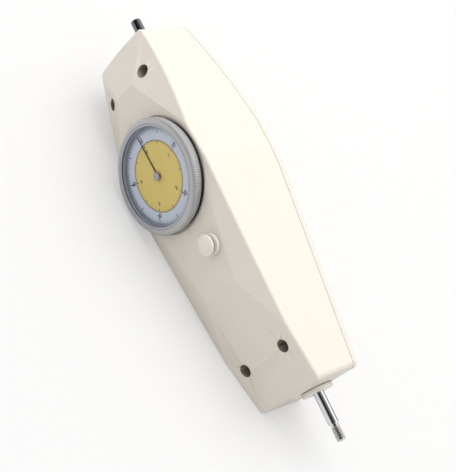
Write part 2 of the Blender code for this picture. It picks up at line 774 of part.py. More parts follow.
def rounded_housing_form(name):
    item = housing_form(name, 0.0, IVORY, GAUGE)
    bevel = item.modifiers.new("Rounded edges", "BEVEL")
    bevel.width = EDGE_ROUND
    bevel.segments = EDGE_SEGMENTS
    bevel.limit_method = "ANGLE"
    bevel.angle_limit = BEVEL_ANGLE
    return baked(item)


def parting_cutter(shift):
    """A prism behind the parting line, which follows the back at the lid's rim."""
    line = [
        (back_depth(0.0) - LID_RIM + shift, -OVERRUN),
        (PAD_BACK_DEPTH - LID_RIM + shift, PAD_START),
        (PAD_BACK_DEPTH - LID_RIM + shift, PAD_END),
        (back_depth(HOUSING_LENGTH) - LID_RIM + shift, HOUSING_LENGTH + TOP_BOW + OVERRUN),
    ]
    far = PAD_BACK_DEPTH + OVERRUN
    outline = line + [(far, line[-1][1]), (far, line[0][1])]
    reach = DIAL_HALF_WIDTH + OVERRUN
    return flat("parting_cutter", [outline], -reach, reach, None, GAUGE, turn=ACROSS)


def well_floor(x, height):
    return front_depth(x, height) - WELL_DEPTH


def post_top(x, height):
    return well_floor(x, height) - WALL - GAP


def seat_screw_places():
    places = []
    for index in range(SEAT_SCREWS):
        angle = math.tau * index / SEAT_SCREWS
        x = SEAT_SCREW_CIRCLE * math.sin(angle)
        places.append((x, DIAL_HEIGHT + SEAT_SCREW_CIRCLE * math.cos(angle)))
    return places


def make_front_housing():
    """The front shell. Bosses round the wells are left standing in its hollow."""
    body = rounded_housing_form("front_housing")
    hollow = housing_cutter(WALL)
    for x, height in SCREW_PLACES:
        cut(hollow, drill(POST_RADIUS, well_floor(x, height) - WALL, BEZEL_FRONT, x, height))
    cut(body, hollow, parting_cutter(0.0))
    for x, height in SCREW_PLACES:
        floor = well_floor(x, height)
        well = drill(WELL_RADIUS, floor, BEZEL_FRONT, x, height, ROUND_STEPS)
        hole = drill(SCREW_RADIUS + GAP, floor - WALL - GAP, floor + GAP, x, height, FEW_STEPS)
        cut(body, well, hole)
    pocket = drill(BEZEL_RADIUS + POCKET_CLEARANCE, POCKET_FLOOR, BEZEL_FRONT, 0.0, DIAL_HEIGHT, WIDE_STEPS)
    opening = drill(DIAL_OPENING, CENTRE_PINION_FRONT, POCKET_FLOOR + GAP, 0.0, DIAL_HEIGHT, WIDE_STEPS)
    tube_hole = BUTTON_TUBE_RADIUS + GAP
    button_hole = drill(tube_hole, BUTTON_TUBE_BACK, BEZEL_FRONT, BUTTON_X, BUTTON_HEIGHT, ROUND_STEPS)
    rod_hole = long_drill(BUSH_RADIUS + GAP, -OVERRUN, WALL + GAP)
    top_end = HOUSING_LENGTH + TOP_BOW + OVERRUN
    tail_hole = long_drill(BUSH_RADIUS + GAP, HOUSING_LENGTH - WALL - OVERRUN, top_end)
    cut(body, pocket, opening, button_hole, rod_hole, tail_hole)
    for x, height in seat_screw_places():
        cut(body, drill(SMALL_SCREW_RADIUS + GAP, SEAT_SCREW_BACK - GAP, BEZEL_FRONT, x, height))
    return baked(body, smoothed=True)


def make_rear_cover():
    """The lid. Its posts take the cover screws, and its bosses take the chassis and the stand inserts."""
    body = rounded_housing_form("rear_cover")
    hollow = housing_cutter(WALL)
    beyond = -PAD_BACK_DEPTH - OVERRUN
    for x, height in SCREW_PLACES:
        cut(hollow, drill(POST_RADIUS, beyond, post_top(x, height), x, height))
    for x, height in CHASSIS_SCREWS:
        cut(hollow, drill(CHASSIS_BOSS_RADIUS, beyond, -CHASSIS_BACK - GAP, x, height))
    for x in (INSERT_X, -INSERT_X):
        boss_end = -PAD_BACK_DEPTH + INSERT_LENGTH + WALL
        cut(hollow, drill(INSERT_BOSS_RADIUS, beyond, boss_end, x, INSERT_HEIGHT))
    front_part = housing_cutter(-OVERRUN)
    cut(front_part, parting_cutter(GAP))
    for x, height in SCREW_PLACES:
        cut(front_part, drill(POST_RADIUS, -PAD_BACK_DEPTH, post_top(x, height), x, height))
    cut(body, hollow, front_part)
    for x, height in SCREW_PLACES:
        top = post_top(x, height)
        cut(body, drill(SCREW_RADIUS + GAP, top - SCREW_LENGTH, top + GAP, x, height, FEW_STEPS))
    for x, height in CHASSIS_SCREWS:
        low = -CHASSIS_BACK - CHASSIS_SCREW_LENGTH
        cut(body, drill(SMALL_SCREW_RADIUS + GAP, low, -CHASSIS_BACK, x, height))
    for x in (INSERT_X, -INSERT_X):
        high = -PAD_BACK_DEPTH + INSERT_LENGTH + GAP
        cut(body, drill(INSERT_RADIUS + GAP, beyond, high, x, INSERT_HEIGHT))
    return baked(body, smoothed=True)


def make_cover_screws():
    for number, (x, height) in enumerate(SCREW_PLACES, 1):
        floor = well_floor(x, height) + GAP
        top = floor + SCREW_HEAD_HEIGHT
        end = post_top(x, height) - SCREW_LENGTH + SLACK
        profile = [
            (0.0, top),
            (SCREW_HEAD_RADIUS, top),
            (SCREW_HEAD_RADIUS, floor),
            (SCREW_RADIUS, floor),
            (SCREW_RADIUS, end),
            (0.0, end),
        ]
        place = facing_place(x, height)
        screw = turned(f"cover_screw_{number}", profile, STEEL, GAUGE, place, FACING, SMALL_STEPS)
        for across, up in ((SCREW_SLOT_LENGTH, SCREW_SLOT_WIDTH), (SCREW_SLOT_WIDTH, SCREW_SLOT_LENGTH)):
            low = (x - across, -top - GAP, height - up)
            high = (x + across, -top + SCREW_SLOT_DEPTH, height + up)
            cut(screw, block("slot", low, high, None, GAUGE))


# Rods and bushes


def bush_profile(collar_radius, collar_low, collar_high, tube_low, tube_high):
    """A collar with a tube behind it. The collar's outer rim is rounded."""
    bore = ROD_RADIUS + GAP
    if tube_high > collar_high:
        return [
            (BUSH_RADIUS, tube_high),
            (BUSH_RADIUS, collar_high),
            (collar_radius, collar_high),
            (collar_radius, collar_low + COLLAR_ROUND),
            (collar_radius - COLLAR_ROUND, collar_low),
            (bore, collar_low),
            (bore, tube_high),
        ]
    return [
        (collar_radius - COLLAR_ROUND, collar_high),
        (collar_radius, collar_high - COLLAR_ROUND),
        (collar_radius, collar_low),
        (BUSH_RADIUS, collar_low),
        (BUSH_RADIUS, tube_low),
        (bore, tube_low),
        (bore, collar_high),
    ]


def make_bushes():
    front = bush_profile(FRONT_COLLAR_RADIUS, -GAP - FRONT_COLLAR_HEIGHT, -GAP, -GAP, FRONT_BUSH_TOP)
    turned("front_rod_bush", front, IVORY_BUSH, GAUGE, ring=True)
    low = TAIL_COLLAR_LOW
    tube_low = low - GAP - TOP_BOW - TAIL_TUBE_LENGTH
    tail = bush_profile(TAIL_COLLAR_RADIUS, low, low + TAIL_COLLAR_HEIGHT, tube_low, low)
    turned("tail_rod_bush", tail, IVORY_BUSH, GAUGE, ring=True)


def thread_profile(low, high, radius):
    """The outer side of a thread drawn as ridges, from high down to low."""
    ridges = round((high - low) / THREAD_PITCH)
    pitch = (high - low) / ridges
    points = []
    for index in range(ridges):
        top = high - pitch * index
        points.append((radius - THREAD_DEPTH, top))
        points.append((radius, top - pitch / 2))
    points.append((radius - THREAD_DEPTH, low))
    return points


def make_rods():
    shoulder = -ROD_REACH + THREAD_LENGTH
    middle = CARRIAGE_MIDDLE - GAP / 2
    profile = [(0.0, middle), (ROD_RADIUS, middle), (ROD_RADIUS, shoulder)]
    profile += [(RELIEF_RADIUS, shoulder), (RELIEF_RADIUS, shoulder - RELIEF_LENGTH)]
    profile += thread_profile(-ROD_REACH + ROD_CHAMFER, shoulder - RELIEF_LENGTH, THREAD_RADIUS)
    profile += [(ROD_TIP_RADIUS, -ROD_REACH), (0.0, -ROD_REACH)]
    turned("measuring_rod", profile, CHROME, ROD_AXIS, steps=SMALL_STEPS)
    middle = CARRIAGE_MIDDLE + GAP / 2
    profile = [
        (0.0, TAIL_END),
        (TAIL_TIP_RADIUS, TAIL_END),
        (ROD_RADIUS, TAIL_END - ROD_CHAMFER),
        (ROD_RADIUS, middle),
        (0.0, middle),
    ]
    turned("tail_rod", profile, DARK_STEEL, ROD_AXIS, steps=SMALL_STEPS)
    profile = ring_profile(STOP_COLLAR_RADIUS, ROD_RADIUS + GAP, STOP_COLLAR_BOTTOM, STOP_COLLAR_TOP)
    turned("stop_collar", profile, STEEL, ROD_AXIS, ring=True)


# Carriage, springs and chassis


def make_carriage():
    low = (-CARRIAGE_HALF_WIDTH, -CARRIAGE_HALF_DEPTH, CARRIAGE_BOTTOM)
    high = (CARRIAGE_HALF_WIDTH, CARRIAGE_HALF_DEPTH, CARRIAGE_TOP)
    body = block("carriage", low, high, ALUMINIUM, ROD_AXIS)
    reach = (CARRIAGE_BOTTOM - OVERRUN, CARRIAGE_TOP + OVERRUN)
    guide_bore = long_drill(GUIDE_RADIUS + GAP, *reach, GUIDE_X, SMALL_STEPS)
    cut(body, long_drill(ROD_RADIUS + GAP, *reach), guide_bore)
    heights = (CARRIAGE_BOTTOM + SET_SCREW_INSET, CARRIAGE_TOP - SET_SCREW_INSET)
    for number, height in enumerate(heights, 1):
        profile = disc_profile(SET_SCREW_RADIUS + GAP, 0.0, CARRIAGE_HALF_WIDTH + OVERRUN - ROD_RADIUS)
        start = (-CARRIAGE_HALF_WIDTH - OVERRUN, 0.0, height)
        cut(body, turned("set_bore", profile, None, GAUGE, start, SIDEWAYS, SMALL_STEPS))
        profile = disc_profile(SET_SCREW_RADIUS, 0.0, CARRIAGE_HALF_WIDTH - ROD_RADIUS - GAP - GAP)
        start = (-CARRIAGE_HALF_WIDTH + GAP, 0.0, height)
        turned(f"carriage_set_screw_{number}", profile, STEEL, ROD_AXIS, start, SIDEWAYS, SMALL_STEPS)
    for height in RACK_SCREW_HEIGHTS:
        cut(body, drill(SMALL_SCREW_RADIUS + GAP, RACK_SCREW_BACK - GAP, RACK_FRONT, RACK_SCREW_X, height))


def coil(radius, wire_radius, low, high, turns, end_turns):
    """Points of a spring along Z with close end turns."""
    total = turns + 2 * end_turns
    close = 2 * wire_radius + CLOSE_GAP
    free = high - low - 2 * wire_radius - 2 * end_turns * close
    points = []
    for index in range(total * COIL_STEPS + 1):
        turn = index / COIL_STEPS
        ends = min(turn, end_turns) + max(0.0, turn - turns - end_turns)
        middle = min(max(turn - end_turns, 0.0), turns)
        height = low + wire_radius + ends * close + middle * free / turns
        angle = math.tau * turn
        points.append((radius * math.cos(angle), radius * math.sin(angle), height))
    return points


def make_springs():
    for name, low, high in (
        ("push_spring", CHASSIS_START + FLANGE_THICKNESS + GAP, CARRIAGE_BOTTOM - GAP),
        ("pull_spring", CARRIAGE_TOP + GAP, CHASSIS_END - FLANGE_THICKNESS - GAP),
    ):
        points = coil(SPRING_RADIUS, SPRING_WIRE / 2, low, high, SPRING_TURNS, SPRING_END_TURNS)
        wire(name, points, SPRING_WIRE / 2, SPRING_STEEL, GAUGE, COIL_RESOLUTION)


def small_screw(name, head_low, end, place, head_radius, head_height, parent):
    profile = [
        (0.0, head_low + head_height),
        (head_radius, head_low + head_height),
        (head_radius, head_low),
        (SMALL_SCREW_RADIUS, head_low),
        (SMALL_SCREW_RADIUS, end),
        (0.0, end),
    ]
    turned(name, profile, STEEL, parent, place, FACING, FEW_STEPS)


def make_chassis():
    """A plate with a bent-up flange at each end, on three bosses of the rear cover."""
    plate_low = (-CHASSIS_HALF_WIDTH, CHASSIS_BACK - CHASSIS_THICKNESS, CHASSIS_START)
    plate_high = (CHASSIS_HALF_WIDTH, CHASSIS_BACK, CHASSIS_END)
    body = block("chassis", plate_low, plate_high, ZINC, GAUGE)
    for low in (CHASSIS_START, CHASSIS_END - FLANGE_THICKNESS):
        corner = (-FLANGE_HALF_WIDTH, -FLANGE_FRONT, low)
        far = (FLANGE_HALF_WIDTH, CHASSIS_BACK - CHASSIS_THICKNESS / 2, low + FLANGE_THICKNESS)
        join(body, block("flange", corner, far, None, GAUGE))
    reach = (CHASSIS_START - OVERRUN, CHASSIS_END + OVERRUN)
    guide_bore = long_drill(GUIDE_RADIUS + GAP, *reach, GUIDE_X, SMALL_STEPS)
    cut(body, long_drill(ROD_RADIUS + GAP, *reach), guide_bore)
    front = -CHASSIS_BACK + CHASSIS_THICKNESS + GAP
    end = -CHASSIS_BACK - CHASSIS_SCREW_LENGTH + SLACK
    for number, (x, height) in enumerate(CHASSIS_SCREWS, 1):
        cut(body, drill(SMALL_SCREW_RADIUS + GAP, -CHASSIS_BACK - GAP, front, x, height))
        name = f"chassis_screw_{number}"
        small_screw(name, front, end, facing_place(x, height), SMALL_HEAD_RADIUS, SMALL_HEAD_HEIGHT, GAUGE)


def make_guide():
    """The pin that keeps the carriage from turning, with a head under the lower flange."""
    low = CHASSIS_START - GAP
    high = CHASSIS_END + GUIDE_OVERHANG
    profile = [
        (0.0, high),
        (GUIDE_RADIUS, high),
        (GUIDE_RADIUS, low),
        (GUIDE_HEAD_RADIUS, low),
        (GUIDE_HEAD_RADIUS, low - GUIDE_HEAD_HEIGHT),
        (0.0, low - GUIDE_HEAD_HEIGHT),
    ]
    turned("guide_pin", profile, STEEL, GAUGE, (GUIDE_X, 0.0, 0.0), steps=SMALL_STEPS)


# Gear train


def tooth_sides():
    """One tooth's corners, in order: which side of its middle, and how far out from the pitch line."""
    return ((-1, -DEDENDUM), (-1, ADDENDUM), (1, ADDENDUM), (1, -DEDENDUM))


def gear_outline(teeth, turn):
    """A toothed outline whose first tooth points at the angle turn."""
    radius = MODULE * teeth / 2
    half = (math.pi * MODULE / 2 - BACKLASH) / 2
    points = []
    for index in range(teeth):
        middle = turn + math.tau * index / teeth
        for side, offset in tooth_sides():
            reach = radius + offset
            angle = middle + side * (half - offset * FLANK_SLOPE) / radius
            points.append((reach * math.cos(angle), reach * math.sin(angle)))
    return points


def make_wheel():
    place = (WHEEL_X, 0.0, WHEEL_HEIGHT)
    front = FRONT_PLATE_BACK + PLATE_THICKNESS
    body = disc("wheel_arbor", ARBOR_RADIUS, PINION_BACK, front, BRASS, WHEEL_AXIS, place, SMALL_STEPS)
    outline = gear_outline(RACK_PINION_TEETH, 0.0)
    pinion = flat("rack_pinion", [outline], PINION_BACK, RACK_FRONT, None, GAUGE, place)
    low = REAR_PLATE_BACK + PLATE_THICKNESS + GAP
    join(body, pinion, drill(ARBOR_SHOULDER, low, WHEEL_BACK, WHEEL_X, WHEEL_HEIGHT))
    to_centre = math.atan2(DIAL_HEIGHT - WHEEL_HEIGHT, -WHEEL_X)
    outlines = [gear_outline(WHEEL_TEETH, to_centre), circle_at(ARBOR_RADIUS + GAP, 0.0, 0.0)]
    low = WHEEL_BACK + GAP
    high = low + WHEEL_THICKNESS
    wheel = flat("drive_wheel", outlines, low, high, BRASS, WHEEL_AXIS, place)
    for index in range(WHEEL_HOLES):
        angle = math.tau * index / WHEEL_HOLES
        x = WHEEL_X + WHEEL_HOLE_CIRCLE * math.cos(angle)
        height = WHEEL_HEIGHT + WHEEL_HOLE_CIRCLE * math.sin(angle)
        cut(wheel, drill(WHEEL_HOLE_RADIUS, WHEEL_BACK, high + GAP, x, height))


def make_centre_arbor():
    place = (0.0, 0.0, DIAL_HEIGHT)
    low = REAR_PLATE_BACK
    body = disc("centre_arbor", ARBOR_RADIUS, low, ARBOR_FRONT, BRASS, POINTER_AXIS, place, SMALL_STEPS)
    to_wheel = math.atan2(WHEEL_HEIGHT - DIAL_HEIGHT, WHEEL_X)
    outline = gear_outline(CENTRE_TEETH, to_wheel + math.pi / CENTRE_TEETH)
    pinion = flat("centre_pinion", [outline], CENTRE_PINION_BACK, CENTRE_PINION_FRONT, None, GAUGE, place)
    low = HAIRSPRING_BACK - GAP
    high = HAIRSPRING_BACK + HAIRSPRING_HEIGHT + GAP
    join(body, pinion, drill(HAIRSPRING_INNER - SLACK, low, high, 0.0, DIAL_HEIGHT))


def make_hairspring():
    """A flat spiral strip round the centre arbor. The front plate's stud holds its outer end."""
    inner = []
    outer = []
    for index in range(HAIRSPRING_TURNS * HAIRSPRING_STEPS + 1):
        turn = index / HAIRSPRING_STEPS
        radius = HAIRSPRING_INNER + HAIRSPRING_PITCH * turn
        angle = math.tau * turn
        inner.append((radius * math.cos(angle), radius * math.sin(angle)))
        reach = radius + HAIRSPRING_STRIP
        outer.append((reach * math.cos(angle), reach * math.sin(angle)))
    high = HAIRSPRING_BACK + HAIRSPRING_HEIGHT
    place = (0.0, 0.0, DIAL_HEIGHT)
    flat("hairspring", [inner + outer[::-1]], HAIRSPRING_BACK, high, SPRING_STEEL, GAUGE, place)


def make_rack():
    """A straight rack whose teeth face the wheel's pinion."""
    pitch = math.pi * MODULE
    half = (pitch / 2 - BACKLASH) / 2
    length = pitch * RACK_TEETH
    teeth = []
    for index in range(RACK_TEETH):
        middle = (index + 1 / 2) * pitch - length / 2
        for side, offset in tooth_sides():
            teeth.append((-offset, middle + side * (half - offset * FLANK_SLOPE)))
    low_end = teeth[0][1] - RACK_END
    high_end = teeth[-1][1] + RACK_END
    back = [(DEDENDUM, high_end), (RACK_WIDTH, high_end), (RACK_WIDTH, low_end), (DEDENDUM, low_end)]
    low = CARRIAGE_HALF_DEPTH + GAP
    body = flat("rack", [teeth + back], low, RACK_FRONT, STEEL, ROD_AXIS, (0.0, 0.0, WHEEL_HEIGHT))
    for number, height in enumerate(RACK_SCREW_HEIGHTS, 1):
        bore = drill(SMALL_SCREW_RADIUS + GAP, low - GAP, RACK_FRONT + GAP, RACK_SCREW_X, height, FEW_STEPS)
        cut(body, bore)
        name = f"rack_screw_{number}"
        place = facing_place(RACK_SCREW_X, height)
        head_low = RACK_FRONT + GAP
        small_screw(name, head_low, RACK_SCREW_BACK, place, RACK_HEAD_RADIUS, RACK_HEAD_HEIGHT, ROD_AXIS)


def plate_holes():
    """Bearing holes for the two arbors, and holes for the riveted pillars."""
    bearing = ARBOR_RADIUS + GAP
    holes = [circle_at(bearing, WHEEL_X, WHEEL_HEIGHT), circle_at(bearing, 0.0, DIAL_HEIGHT)]
    for x, height in RIVETED_PILLARS:
        holes.append(circle_at(SMALL_SCREW_RADIUS + GAP, x, height, FEW_STEPS))
    return holes


def make_movement_plates():
    low = DIAL_HEIGHT - REAR_PLATE_DROP
    high = DIAL_HEIGHT + REAR_PLATE_RISE
    rear = [rounded_rectangle(REAR_PLATE_HALF_WIDTH, low, high, PLATE_CORNER)] + plate_holes()
    rear.append(circle_at(LEVER_PIN_RADIUS + GAP, LEVER_PIVOT_X, LEVER_PIVOT_HEIGHT))
    for x, height in LONG_PILLARS:
        rear.append(circle_at(SMALL_SCREW_RADIUS + GAP, x, height, FEW_STEPS))
    back = REAR_PLATE_BACK
    flat("movement_rear_plate", rear, back, back + PLATE_THICKNESS, BRASS_PLATE, GAUGE)
    low = DIAL_HEIGHT - FRONT_PLATE_DROP
    high = DIAL_HEIGHT + FRONT_PLATE_RISE
    front = [rounded_rectangle(FRONT_PLATE_HALF_WIDTH, low, high, PLATE_CORNER)] + plate_holes()
    back = FRONT_PLATE_BACK
    plate = flat("movement_front_plate", front, back, back + PLATE_THICKNESS, BRASS_PLATE, GAUGE)
    x = HAIRSPRING_INNER + HAIRSPRING_PITCH * HAIRSPRING_TURNS + HAIRSPRING_STRIP + GAP + STUD_RADIUS
    stud_high = back + PLATE_THICKNESS / 2
    join(plate, drill(STUD_RADIUS, back - STUD_LENGTH, stud_high, x, DIAL_HEIGHT, FEW_STEPS))


def make_pillars():
    """Pillars screwed to the rear plate, and short ones whose ends are riveted over in both plates."""
    top = REAR_PLATE_BACK - GAP
    bottom = -CHASSIS_BACK + CHASSIS_THICKNESS + GAP
    bore_low = top - PILLAR_BORE
    head_low = REAR_PLATE_BACK + PLATE_THICKNESS + GAP
    for number, (x, height) in enumerate(LONG_PILLARS, 1):
        place = facing_place(x, height)
        name = f"chassis_pillar_{number}"
        pillar = disc(name, PILLAR_RADIUS, bottom, top, STEEL, GAUGE, place, SMALL_STEPS)
        cut(pillar, drill(SMALL_SCREW_RADIUS + GAP, bore_low, top + GAP, x, height, FEW_STEPS))
        name = f"pillar_screw_{number}"
        small_screw(name, head_low, bore_low + SLACK, place, SMALL_HEAD_RADIUS, SMALL_HEAD_HEIGHT, GAUGE)
    rivet_low = FRONT_PLATE_BACK + PLATE_THICKNESS + GAP
    rivet_high = REAR_PLATE_BACK - GAP
    for number, (x, height) in enumerate(RIVETED_PILLARS, 1):
        profile = [
            (0.0, rivet_low + RIVET_HEIGHT),
            (RIVETED_RADIUS, rivet_low + RIVET_HEIGHT),
            (RIVETED_RADIUS, rivet_low),
            (SMALL_SCREW_RADIUS, rivet_low),
            (SMALL_SCREW_RADIUS, FRONT_PLATE_BACK - GAP),
            (RIVETED_RADIUS, FRONT_PLATE_BACK - GAP),
            (RIVETED_RADIUS, head_low),
            (SMALL_SCREW_RADIUS, head_low),
            (SMALL_SCREW_RADIUS, rivet_high),
            (RIVETED_RADIUS, rivet_high),
            (RIVETED_RADIUS, rivet_high - RIVET_HEIGHT),
            (0.0, rivet_high - RIVET_HEIGHT),
        ]
        place = facing_place(x, height)
        turned(f"movement_pillar_{number}", profile, BRASS, GAUGE, place, FACING, SMALL_STEPS)


# Dial, pointer and bezel


def make_pointer():
    """A tapering blade on a boss, and the cap over the arbor's end."""
    place = (0.0, 0.0, DIAL_HEIGHT)
    upright = math.pi / 2
    spread = math.asin(POINTER_ROOT / POINTER_BOSS_RADIUS)
    outline = [(POINTER_TIP, POINTER_LENGTH), (-POINTER_TIP, POINTER_LENGTH)]
    round_end = upright + math.tau - spread
    outline += arc((0.0, 0.0), POINTER_BOSS_RADIUS, upright + spread, round_end, SMALL_STEPS)
    bore_radius = ARBOR_RADIUS + GAP
    bore = circle_at(bore_radius, 0.0, 0.0)
    flat("pointer", [outline, bore], POINTER_BACK, POINTER_FRONT, BLACK, POINTER_AXIS, place)
    back = POINTER_FRONT + GAP
    front = back + HUB_HEIGHT
    profile = [
        (0.0, front),
        (HUB_RADIUS - HUB_ROUND, front),
        (HUB_RADIUS, front - HUB_ROUND),
        (HUB_RADIUS, back),
        (bore_radius, back),
        (bore_radius, ARBOR_FRONT + GAP),
        (0.0, ARBOR_FRONT + GAP),
    ]
    turned("pointer_hub", profile, CHROME, POINTER_AXIS, place, FACING, SMALL_STEPS)


def make_dial():
    place = (0.0, 0.0, DIAL_HEIGHT)
    back = DIAL_FRONT - DIAL_THICKNESS
    bore = ARBOR_RADIUS + SLACK + GAP
    ring("dial_plate", DIAL_RADIUS, bore, back, DIAL_FRONT, DIAL_WHITE, BEZEL_AXIS, place, WIDE_STEPS)
    high = back - GAP
    low = high - HOLDER_HEIGHT
    ring("dial_retaining_ring", SEAT_OUTER, SEAT_INNER, low, high, ZINC, BEZEL_AXIS, place, WIDE_STEPS)


def make_bezel():
    """The bezel's front is a rounded ring, with a step and a chamfer outside it and a neck at its foot."""
    place = (0.0, 0.0, DIAL_HEIGHT)
    groove = DIAL_RADIUS + GAP
    lip_back = BEZEL_FRONT - BEZEL_LIP
    crystal_front = lip_back - GAP
    crystal_back = crystal_front - CRYSTAL_THICKNESS
    gasket_front = crystal_back - GAP
    gasket_back = gasket_front - GASKET_HEIGHT
    neck_top = PLATEAU_DEPTH + BEZEL_NECK_RISE
    shoulder = BEZEL_FRONT - BEZEL_ROUND_HEIGHT - BEZEL_STEP_HEIGHT
    step_radius = BEZEL_RADIUS - BEZEL_CHAMFER - BEZEL_STEP_WIDTH
    profile = [(BEZEL_OPENING + BEZEL_LIP, BEZEL_FRONT)]
    for step in range(ARC_STEPS):
        angle = math.pi / 2 * (1 - step / (ARC_STEPS - 1))
        radius = step_radius - BEZEL_ROUND_WIDTH * (1 - math.cos(angle))
        profile.append((radius, BEZEL_FRONT - BEZEL_ROUND_HEIGHT * (1 - math.sin(angle))))
    profile += [
        (step_radius, shoulder),
        (BEZEL_RADIUS - BEZEL_CHAMFER, shoulder),
        (BEZEL_RADIUS, shoulder - BEZEL_CHAMFER),
        (BEZEL_RADIUS, neck_top),
        (BEZEL_NECK_RADIUS, neck_top),
        (BEZEL_NECK_RADIUS, BEZEL_BASE),
        (BEZEL_BORE, BEZEL_BASE),
        (BEZEL_BORE, DIAL_FRONT - DIAL_THICKNESS),
        (groove, DIAL_FRONT - DIAL_THICKNESS),
        (groove, DIAL_FRONT + GAP),
        (BEZEL_OPENING, DIAL_FRONT + GAP),
        (BEZEL_OPENING, gasket_back - GAP),
        (groove, gasket_back - GAP),
        (groove, lip_back),
        (BEZEL_OPENING, lip_back),
    ]
    turned("bezel", profile, SATIN, BEZEL_AXIS, place, FACING, WIDE_STEPS, ring=True)
    name = "crystal_gasket"
    inner = BEZEL_OPENING + GAP
    ring(name, DIAL_RADIUS, inner, gasket_back, gasket_front, BLACK, BEZEL_AXIS, place, WIDE_STEPS)
    disc("crystal", DIAL_RADIUS, crystal_back, crystal_front, GLASS, BEZEL_AXIS, place, WIDE_STEPS)


def make_dial_seat():
    """The fixed ring in the housing's pocket that the bezel turns on, with sunk screws."""
    place = (0.0, 0.0, DIAL_HEIGHT)
    seat = ring("dial_seat", SEAT_OUTER, SEAT_INNER, SEAT_BACK, SEAT_FRONT, ZINC, GAUGE, place, WIDE_STEPS)
    head_low = SEAT_FRONT - SMALL_HEAD_HEIGHT
    for number, (x, height) in enumerate(seat_screw_places(), 1):
        recess = drill(SMALL_HEAD_RADIUS + GAP, head_low - GAP, SEAT_FRONT + GAP, x, height)
        hole = drill(SMALL_SCREW_RADIUS + GAP, SEAT_BACK - GAP, SEAT_FRONT, x, height, FEW_STEPS)
        cut(seat, recess, hole)
        spot = facing_place(x, height)
        head_height = SMALL_HEAD_HEIGHT - GAP / 3
        name = f"seat_screw_{number}"
        small_screw(name, head_low, SEAT_SCREW_BACK, spot, SMALL_HEAD_RADIUS, head_height, GAUGE)


# Button and hold lever


def make_button():
    place = (BUTTON_X, 0.0, BUTTON_HEIGHT)
    neck_end = CAP_BACK - NECK_LENGTH
    profile = [
        (0.0, CAP_FRONT),
        (NECK_RADIUS, CAP_FRONT - CAP_CROWN / 3),
        (CAP_RADIUS - 2 * CAP_CROWN, CAP_FRONT - CAP_CROWN),
        (CAP_RADIUS - CAP_CROWN / 2, CAP_FRONT - 2 * CAP_CROWN),
        (CAP_RADIUS, CAP_FRONT - 3 * CAP_CROWN),
        (CAP_RADIUS, CAP_BACK + CAP_CROWN),
        (CAP_RADIUS - CAP_CROWN, CAP_BACK),
        (NECK_RADIUS, CAP_BACK),
        (NECK_RADIUS, neck_end),
        (NECK_BORE, neck_end),
        (NECK_BORE, CAP_BACK),
        (STEM_RADIUS + GAP, CAP_BACK),
        (STEM_RADIUS + GAP, CAP_SOCKET),
        (0.0, CAP_SOCKET),
    ]
    turned("button_cap", profile, IVORY_BUTTON, BUTTON_AXIS, place, FACING)
    profile = [
        (0.0, CAP_SOCKET - GAP),
        (STEM_RADIUS, CAP_SOCKET - GAP),
        (STEM_RADIUS, CAM_FRONT),
        (CAM_RADIUS, CAM_FRONT),
        (CAM_RADIUS, CAM_CONE_FRONT),
        (CAM_TIP_RADIUS, CAM_BACK),
        (0.0, CAM_BACK),
    ]
    turned("button_plunger", profile, STEEL, BUTTON_AXIS, place, FACING, SMALL_STEPS)
    bore = STEM_RADIUS + GAP
    pocket = NECK_RADIUS + GAP
    flange_back = PLATEAU_DEPTH + GAP
    profile = [
        (BUTTON_COLLAR_RADIUS - COLLAR_ROUND, BUTTON_COLLAR_FRONT),
        (BUTTON_COLLAR_RADIUS, BUTTON_COLLAR_FRONT - COLLAR_ROUND),
        (BUTTON_COLLAR_RADIUS, flange_back),
        (BUTTON_TUBE_RADIUS, flange_back),
        (BUTTON_TUBE_RADIUS, BUTTON_TUBE_BACK),
        (pocket, BUTTON_TUBE_BACK),
        (pocket, BUTTON_FLOOR_BACK),
        (bore, BUTTON_FLOOR_BACK),
        (bore, BUTTON_FLOOR_FRONT),
        (pocket, BUTTON_FLOOR_FRONT),
        (pocket, BUTTON_COLLAR_FRONT),
    ]
    turned("button_collar", profile, IVORY_BUTTON, GAUGE, place, FACING, ring=True)
    high = PLATEAU_DEPTH - WALL - GAP
    low = high - COLLAR_NUT_HEIGHT
    ring("collar_nut", COLLAR_NUT_RADIUS, BUTTON_TUBE_RADIUS + GAP, low, high, BRASS, GAUGE, place)
    low = BUTTON_FLOOR_FRONT + GAP
    points = coil(BUTTON_SPRING_RADIUS, BUTTON_SPRING_WIRE / 2, low, CAP_BACK - GAP, BUTTON_SPRING_TURNS, 0)
    points = [(BUTTON_X + x, -depth, BUTTON_HEIGHT + y) for x, y, depth in points]
    wire("button_spring", points, BUTTON_SPRING_WIRE / 2, SPRING_STEEL, GAUGE, COIL_RESOLUTION)


def cam_radius(depth):
    """The cam's radius at a depth, at rest."""
    share = (depth - CAM_BACK) / (CAM_CONE_FRONT - CAM_BACK)
    return CAM_TIP_RADIUS + (CAM_RADIUS - CAM_TIP_RADIUS) * min(1.0, share)


def lever_places():
    """The lever's foot by the cam, its pivot, and its tip by the wheel's rim, as (x, height) vectors."""
    front = LEVER_BACK + LEVER_THICKNESS
    foot = Vector((BUTTON_X - cam_radius(front) - GAP - LEVER_FOOT_RADIUS, BUTTON_HEIGHT))
    pivot = Vector((LEVER_PIVOT_X, LEVER_PIVOT_HEIGHT))
    wheel = Vector((WHEEL_X, WHEEL_HEIGHT))
    reach = WHEEL_RADIUS + ADDENDUM + SLACK + LEVER_FOOT_RADIUS
    away = pivot - wheel
    span = away.length
    along = (span**2 + reach**2 - LEVER_ARM**2) / (2 * span)
    across = math.sqrt(reach**2 - along**2)
    unit = away / span
    tip = wheel + unit * along + Vector((-unit.y, unit.x)) * across
    return foot, pivot, tip


